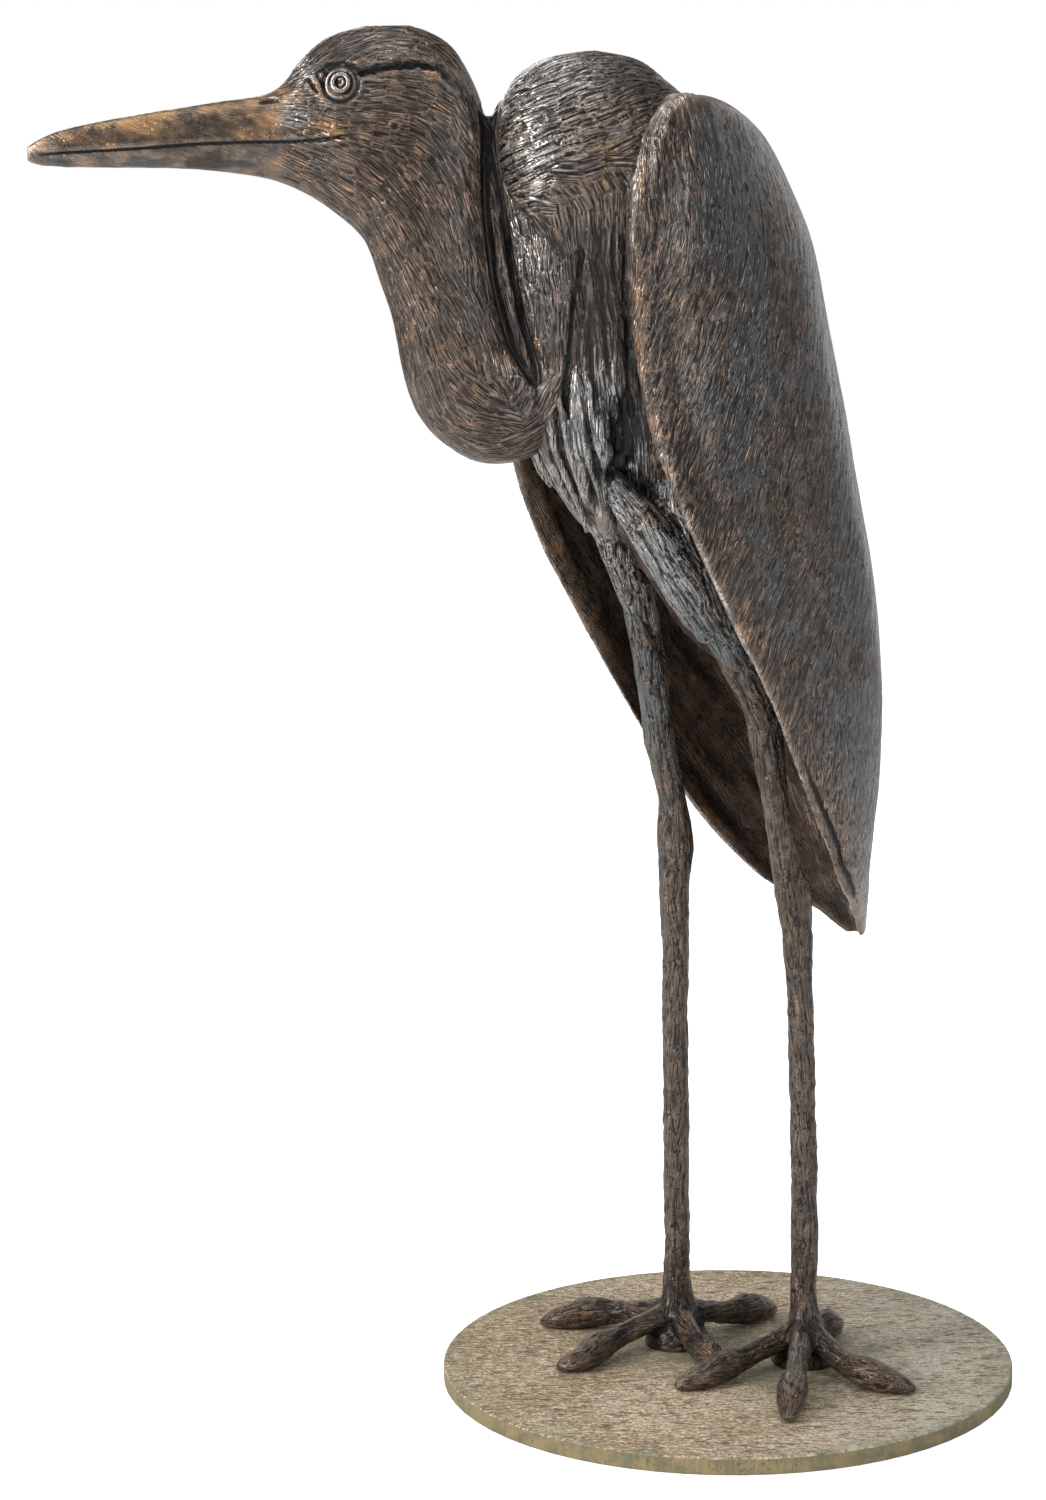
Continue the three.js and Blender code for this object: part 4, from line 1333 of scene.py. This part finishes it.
body_net.points = body_net.points + body_net.normals() * carved[:, None]
rusty = bell(np.linalg.norm((body_net.points - [45, -177, 849]) / [14, 14, 24], axis=1), 0, 1)
rusty = 0.5 * rusty * smoothstep(lumps(body_net.points, 9, 12), -0.4, 0.3)
stub = bell(np.linalg.norm(body_net.points - [9, -138, 613], axis=1), 0, 10, 4)
# The mantle and the tuft are polished pale, which also paints their highlights as sheen.
mantle_polish_and_sheen = mantle * smoothstep(-y, 120, 175) * (1 - smoothstep(x, 20, 50))
shade = 0.4 * smoothstep(x, -2, 12) * (1 - smoothstep(z, 780, 820)) * smoothstep(z, 650, 690) * (1 - on_tuft)
# Painted shade: the pocket by tuft, thigh and wing, the deeper folds, the hollow between the neck's fall and
# the wing, and the gap beside the plume are darkened in colour.
darkening = np.maximum(0.5 * in_pocket, 0.4 * sum(line for depth, line in folds if depth > 1.5)) + shade
darkening = np.maximum(darkening, 0.9 * beside_plume)
make_piece(
    ["heron_body"],
    body_net,
    body_comb,
    finish=(rusty, np.maximum(0.8 * mantle_polish_and_sheen, 0.6 * on_tuft * (1 - stub)), 0.25 + 0.5 * on_tuft),
    material=bronze("bronze_body", pitch=2.8, length=36.0, depth=0.0014, warmth=0.35),
    marks=(darkening, 0.5 * rusty + 0.3 * stub, 0.7 * stub),
    most=195000,
)

# %% [markdown]
# ## The wings
# A wing is calm beside the mantle. Fine strokes slant across its outer face, patches of bloom and
# copper show through each other, and the shoulder is polished pale, which also paints its highlight.
# The lower rim is a thin line painted light, with a dark groove behind it.

# %% Shape and comb a wing
TURN_QUILLS = np.array([[1, 0, 0], [0, 0.6, 0.8], [0, -0.8, 0.6]])  # the inner face's ridges run back


def faces_out(points, normals):
    """Whether each point is on the outer face of its wing."""
    return np.einsum("ij,ij->i", normals[:, :2], points[:, :2] * [1, 0.6]) > 0


def wing_direction(points, up):
    """Slanting back over the middle of the outer face, straighter above and below."""
    z = points[:, 2]
    hand = np.sign(points[:, :1] + 1e-6)
    outside = faces_out(points, up)[:, None]
    slanted = np.hstack([0 * hand, np.full_like(hand, 0.42), np.ones_like(hand)])
    straight = np.hstack([0 * hand, np.full_like(hand, -0.12), np.ones_like(hand)])
    middle = (smoothstep(z, 420, 560) * (1 - smoothstep(z, 760, 850)))[:, None]
    inner = np.hstack([0 * hand, np.full_like(hand, -0.75), np.ones_like(hand)])
    return np.where(outside, middle * slanted + (1 - middle) * straight, inner)


def make_wing(name, lap, hand, seed):
    net = fuse(name, [wing(lap, hand)], cell=1.5)
    net.relax(2)
    net.relax(14, 1 - smoothstep(net.points[:, 2], 305, 335))
    normals = net.normals()
    x, y, z = net.points.T
    table = np.array(WINGS, float)[::-1]
    rim_y = np.interp(z, table[:, 0], table[:, 2])
    rim_x = np.interp(z, table[:, 0], table[:, 1]) * hand
    outside = net.blur(faces_out(net.points, normals).astype(float), 3)
    from_rim = np.hypot(x - rim_x, y - rim_y)
    low = smoothstep(z, 320, 350) * (1 - smoothstep(z, 415, 455))
    furrow = bell(from_rim - 7, 1.5 * lumps(net.points, 12, seed), 1.8) * outside * low
    high = smoothstep(z, 560, 640) * outside
    rib = bell(from_rim, 6, 7) * high
    valley = bell(from_rim, 22, 8) * high
    dents = 0.8 * lumps(net.points / [1, 1, 2.5], 34, seed)
    dents = dents + 0.35 * lumps(net.points / [1, 1, 3], 13, seed + 1)
    comb = Comb(net, wing_direction, 30, seed, wander=0.06)
    fine = comb.strokes(4.0, 40) * (0.05 + 0.09 * outside + 0.2 * rib)
    quills = 1.5 * lumps(net.points @ TURN_QUILLS / [1, 9, 1], 11, seed + 2)
    quills = quills * (1 - outside) * (1 - smoothstep(z, 640, 700))
    raised = dents + fine + quills + 1.2 * rib - 0.5 * valley - 1.2 * furrow
    net.points = net.points + normals * raised[:, None]
    # Painted highlights: pale polish paints the shoulder's highlight, a thin light line along the lower rim,
    # and light flecks towards the back edge.
    shoulder = smoothstep(z, 826, 856) * bell(from_rim, 5, 4.5)
    edge = bell(from_rim, 0, 1.6) * (1 - smoothstep(z, 640, 740))
    steel_and_sheen = outside * (0.12 + 0.15 * (1 - smoothstep(z, 400, 520)) + 0.10 * smoothstep(y, 60, 100))
    polish_and_sheen = np.maximum(np.maximum(0.7 * shoulder, 0.05 * rib), np.maximum(0.8 * edge, steel_and_sheen))
    bloom = outside * smoothstep(from_rim, 12, 50) * (0.8 + 0.4 * smoothstep(y, -20, 60))
    near_rim = 1 - smoothstep(from_rim + 14 * lumps(net.points / [1, 1, 3], 16, seed + 4), 16, 46)
    near_rim *= smoothstep(z, 430, 540)
    warm = 0.1 * rib * (1 - shoulder) + 0.8 * outside * near_rim + 0.1 * (1 - outside)
    calm = 0.6 * smoothstep(z, 862, 884) + 0.75 * (1 - outside)
    # Darker in the furrow and along the rib.
    furrow_and_rib_dark = 0.7 * furrow + 0.3 * rib * (1 - shoulder)
    make_piece(
        [name],
        net,
        comb,
        finish=(0, polish_and_sheen, bloom),
        material=bronze(
            name.replace("heron", "bronze"), pitch=1.7, length=13.0, depth=0.0010, warmth=0.55, pitted=0.5
        ),
        marks=(furrow_and_rib_dark, warm, calm),
        most=130000,
    )


make_wing("heron_left_wing", lap=3, hand=1, seed=11)
make_wing("heron_right_wing", lap=0, hand=-1, seed=23)

# %% [markdown]
# ## The legs and feet
# The shins are left rough, with knobs and twisted lumps, as wire and clay would leave them. The
# toes lie flat on the plate, so their undersides are pressed level.

# %% Legs and feet


def leaned(shell):
    """A leg leans with the body."""
    return settle(shell[0]), shell[1]


def moved(shell):
    """A foot stays level and only goes where the bird stands."""
    return shell[0] + STAND, shell[1]


legs_net = fuse(
    "legs",
    [
        leaned(sweep(LEFT_LEG, steps=320)),
        leaned(sweep(RIGHT_LEG, steps=320)),
        leaned(sweep(LEFT_THIGH, steps=120)),
        *(moved(toe(flat)) for flat in TOES),
        *(moved(ball((*root, FLOOR), 24, 0.8)) for root in (LEFT_ROOT, RIGHT_ROOT)),
    ],
    cell=1.2,
)
legs_net.relax(5)
flat = legs_net.points[:, :2]
from_roots = [np.linalg.norm(flat - root - STAND[:2], axis=1) for root in (LEFT_ROOT, RIGHT_ROOT)]
at_root = bell(np.minimum(*from_roots), 0, 27, 4) * (1 - smoothstep(legs_net.points[:, 2], 60, 80))
legs_net.relax(25, at_root)


def leg_direction(points, up):
    """Along the nearest leg or toe."""
    legs = (LEFT_LEG, RIGHT_LEG, LEFT_THIGH)
    lines = [settle(np.array([station[:3] for station in leg], float)) for leg in legs]
    lines += [np.array([[*p, FLOOR + 8] for p in toe_line], float) + STAND for toe_line in TOES]
    best, way = np.full(len(points), np.inf), np.zeros((len(points), 3))
    for line in lines:
        for start, end in zip(line[:-1], line[1:]):
            away, _ = distance_to([start, end], points)
            closer = away < best
            best[closer] = away[closer]
            way[closer] = (end - start) / np.linalg.norm(end - start)
    return way


legs_comb = Comb(legs_net, leg_direction, 26, 31, wander=0.08)
x, y, z = legs_net.points.T
shin_part = smoothstep(z, 36, 60)
thigh_part = smoothstep(z, 400, 500)
carved = (0.3 + 0.25 * thigh_part) * legs_comb.strokes(4.6, 70)
carved = carved + 0.5 * (1 - thigh_part) * lumps(legs_net.points, 5, 41)
carved += thigh_part * (0.6 * legs_comb.strokes(9, 90, 5) + 0.5 * lumps(legs_net.points, 14, 41))
carved += shin_part * 1.1 * lumps(legs_net.points / [1, 1, 1.8], 12, 42) - 0.5 * (1 - shin_part)
legs_net.points = legs_net.points + legs_net.normals() * carved[:, None]
legs_net.points[:, 2] = np.maximum(legs_net.points[:, 2], FLOOR)
# The thighs are polished pale, which also paints their silvery highlights as sheen.
polish_and_sheen = 0.7 * smoothstep(z, 500, 600) * (1 - smoothstep(z, 628, 640))
make_piece(
    ["heron_legs_and_feet"],
    legs_net,
    legs_comb,
    finish=(0.3 - 0.2 * shin_part - 0.1 * thigh_part, polish_and_sheen, 0.3 + 0.6 * thigh_part),
    material=bronze(
        "bronze_legs", pitch=2.6, length=20.0, depth=0.0010, warmth=0.12, grain_depth=0.0012, pitted=0.8
    ),
    marks=(0.25 * (1 - thigh_part), 0.25 * (1 - shin_part), 0.35 * shin_part * (1 - thigh_part)),
    most=110000,
    in_place=True,
)

# %% [markdown]
# ## The base plate
# The plate is sawn from thick sheet, left rough and weathered to khaki. Rain has drawn verdigris
# round the feet and along the rim, with a few rusty spots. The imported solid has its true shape, so
# it keeps it, and only the finish is new.

# %% Material: weathered plate
KHAKI, PALE_KHAKI = (0.40, 0.285, 0.16, 1), (0.60, 0.48, 0.33, 1)
CHALK = (0.95, 0.83, 0.64, 1)
RUST = (0.40, 0.23, 0.105, 1)
SOOT = (0.085, 0.06, 0.038, 1)
EARTH = (0.12, 0.085, 0.05, 1)
PALE_GREY = (0.47, 0.47, 0.44, 1)
EDGE, EDGE_STAIN = (0.30, 0.225, 0.115, 1), (0.17, 0.115, 0.06, 1)
VERDIGRIS = (0.21, 0.24, 0.15, 1)
PIT = (0.09, 0.07, 0.05, 1)
PLATE_TOP = 0.012  # metres
PLATE_GRAINS, CLOUDS, STAINS, GRIT = 330.0, 9.0, 60.0, 420.0  # so many in a metre
ROLLED = ((28.0, 95.0), (95.0, 330.0))  # and streaks along and across, broad ones and fine ones


def rolled_streaks(graph, x, y, along, across):
    """The sheet was rolled along one diagonal of the frame, and its streaks run that way."""
    rolled = graph.node("CombineXYZ")
    graph.feed(rolled.inputs[0], graph.times(graph.plus(x, y), along))
    graph.feed(rolled.inputs[1], graph.times(graph.minus(y, x), across))
    return graph.noise(rolled.outputs[0], 1.0, 5.0, 0.7, 0.6)


def near_feet(graph, place, blotches):
    """A ragged stain round the root of each foot."""
    stain = 0.0
    for root in (LEFT_ROOT, RIGHT_ROOT):
        away = graph.node("VectorMath", operation="DISTANCE")
        graph.feed(away.inputs[0], place)
        away.inputs[1].default_value = ((root[0] + STAND[0]) / 1000, (root[1] + STAND[1]) / 1000, PLATE_TOP)
        away = graph.minus(away.outputs["Value"], graph.times(blotches, 0.07))
        stain = graph.maths("MAXIMUM", graph.ease(away, 0.06, -0.01), stain)
    return stain


def make_plate_material():
    material, graph, shader = new_material("weathered_plate")
    place = graph.node("TexCoord").outputs["Object"]
    x, y, _ = graph.split(place)
    grain = graph.place(GRAIN, Place=place, Scale=PLATE_GRAINS)
    big = graph.noise(place, CLOUDS, 4.0, 0.6, 0.3)
    small = graph.noise(place, STAINS, 5.0, 0.7, 0.2)
    speck = graph.noise(place, GRIT, 3.0, 0.6)
    broad_streak, fine_streak = (rolled_streaks(graph, x, y, *pitch) for pitch in ROLLED)
    streak = graph.times(graph.plus(broad_streak, fine_streak), 0.5)
    colour = graph.mix(graph.ease(big, 0.38, 0.62), KHAKI, PALE_KHAKI)
    colour = graph.cover(colour, graph.ease(fine_streak, 0.48, 0.62), 0.75, CHALK)
    colour = graph.cover(colour, graph.ease(small, 0.54, 0.70), 0.55, RUST)
    colour = graph.cover(colour, graph.ease(streak, 0.52, 0.38), 0.9, SOOT)
    colour = graph.cover(colour, graph.ease(speck, 0.52, 0.38), 0.75, EARTH)
    # Paler and greyer towards +x and +y, along the streaks.
    paler_side = graph.ease(graph.plus(graph.plus(x, y), graph.times(big, 0.3)), 0.14, 0.38)
    paler_side = graph.times(paler_side, graph.ease(streak, 0.42, 0.55))
    colour = graph.cover(colour, paler_side, 0.55, PALE_GREY)
    facing = graph.split(graph.node("TexCoord").outputs["Normal"])[2]
    edge = graph.mix(graph.ease(small, 0.4, 0.62), EDGE, EDGE_STAIN)
    colour = graph.mix(graph.ease(facing, 0.7, 0.3), colour, edge)
    radius = graph.maths("SQRT", graph.plus(graph.times(x, x), graph.times(y, y)))
    rim = graph.ease(graph.plus(radius, graph.times(small, 0.03)), 0.19, 0.222)
    green = graph.maths("MAXIMUM", graph.times(rim, 0.6), near_feet(graph, place, small))
    green = graph.times(green, graph.ease(small, 0.3, 0.6), clamp=True)
    colour = graph.cover(colour, green, 0.75, VERDIGRIS)
    colour = graph.cover(colour, grain["Pits"], 0.5, PIT)
    height = graph.plus(graph.times(grain["Height"], 0.0012), graph.times(streak, 0.0040))
    dress(graph, shader, colour, graph.between(0.58, 0.83, small), height)
    shader.inputs["Metallic"].default_value = 0.25
    return material


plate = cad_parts["base_plate"]
plate_material = make_plate_material()
if plate.material_slots:
    for slot in plate.material_slots:
        slot.material = plate_material
else:
    plate.data.materials.append(plate_material)
print("plate wears", plate_material.name)

# %% [markdown]
# ## The studio
# The photograph shows the bird cut out on white, lit softly from all round, brightest from the front
# left. A pale floor and a few large lamps do the same: the key in front on the left, a weaker fill on
# the right, one overhead, and two faint ones behind that draw a thin line of light along the wings.

# %% Floor and lights
FLOOR_REACH = 6.0
COOL = (0.95, 0.98, 1)
LAMPS = {  # place, aim, size, watts, colour
    "key": ((-0.8, -2.5, 1.45), (0, 0, 0.6), (0.8, 1.8), 82, (1, 0.99, 0.97)),
    "fill": ((2.6, -0.4, 1.4), (0, 0, 0.5), (1.2, 2.0), 26, COOL),
    "top": ((0.1, -0.6, 3.0), (0, 0, 0.6), (1.6, 1.6), 26, (1, 1, 1)),
    "rim": ((-0.6, 2.5, 1.0), (0, 0, 0.6), (0.9, 1.8), 5, COOL),
    "far rim": ((-2.2, 1.2, 1.6), (0, 0, 0.7), (0.9, 1.6), 12, (1, 1, 1)),
}


def make_floor():
    mesh = bpy.data.meshes.new("floor")
    corners = [(-1, -1), (1, -1), (1, 1), (-1, 1)]
    mesh.from_pydata([(FLOOR_REACH * x, FLOOR_REACH * y, 0) for x, y in corners], [], [(0, 1, 2, 3)])
    floor = bpy.data.objects.new("floor", mesh)
    bpy.context.scene.collection.objects.link(floor)
    floor.location.z = -0.0005  # a hair below the plate, so that the two don't flicker
    material, graph, shader = new_material("studio_floor")
    shader.inputs["Base Color"].default_value = (0.93, 0.93, 0.93, 1)
    shader.inputs["Roughness"].default_value = 0.9
    seen = graph.node("LightPath").outputs["Is Camera Ray"]
    shader.inputs["Emission Color"].default_value = (1, 1, 1, 1)
    graph.feed(shader.inputs["Emission Strength"], graph.times(seen, 0.85))
    mesh.materials.append(material)
    return floor


def make_light(name, place, aim, size, power, colour):
    data = bpy.data.lights.new(name, "AREA")
    data.shape = "RECTANGLE"
    data.size, data.size_y = size
    data.energy = power
    data.color = colour
    lamp = bpy.data.objects.new(name, data)
    bpy.context.scene.collection.objects.link(lamp)
    lamp.location = place
    lamp.visible_camera = False
    way = np.array(aim, float) - np.array(place, float)
    lamp.rotation_mode = "QUATERNION"
    lamp.rotation_quaternion = Vector(way).to_track_quat("-Z", "Y")
    return lamp


make_floor()
for name, settings in LAMPS.items():
    make_light(name, *settings)
print("lamps:", list(LAMPS))


def make_world():
    """White to the camera and a calm grey to the metal, as in a tent of white cloth."""
    world = bpy.data.worlds.new("studio")
    bpy.context.scene.world = world
    world.use_nodes = True
    graph = Graph(world.node_tree)
    background = world.node_tree.nodes["Background"]
    background.inputs["Color"].default_value = (1, 1, 1, 1)
    seen = graph.node("LightPath").outputs["Is Camera Ray"]
    graph.feed(background.inputs["Strength"], graph.between(0.31, 1.0, seen))
    return world


make_world()
bpy.context.scene.view_settings.view_transform = "Standard"
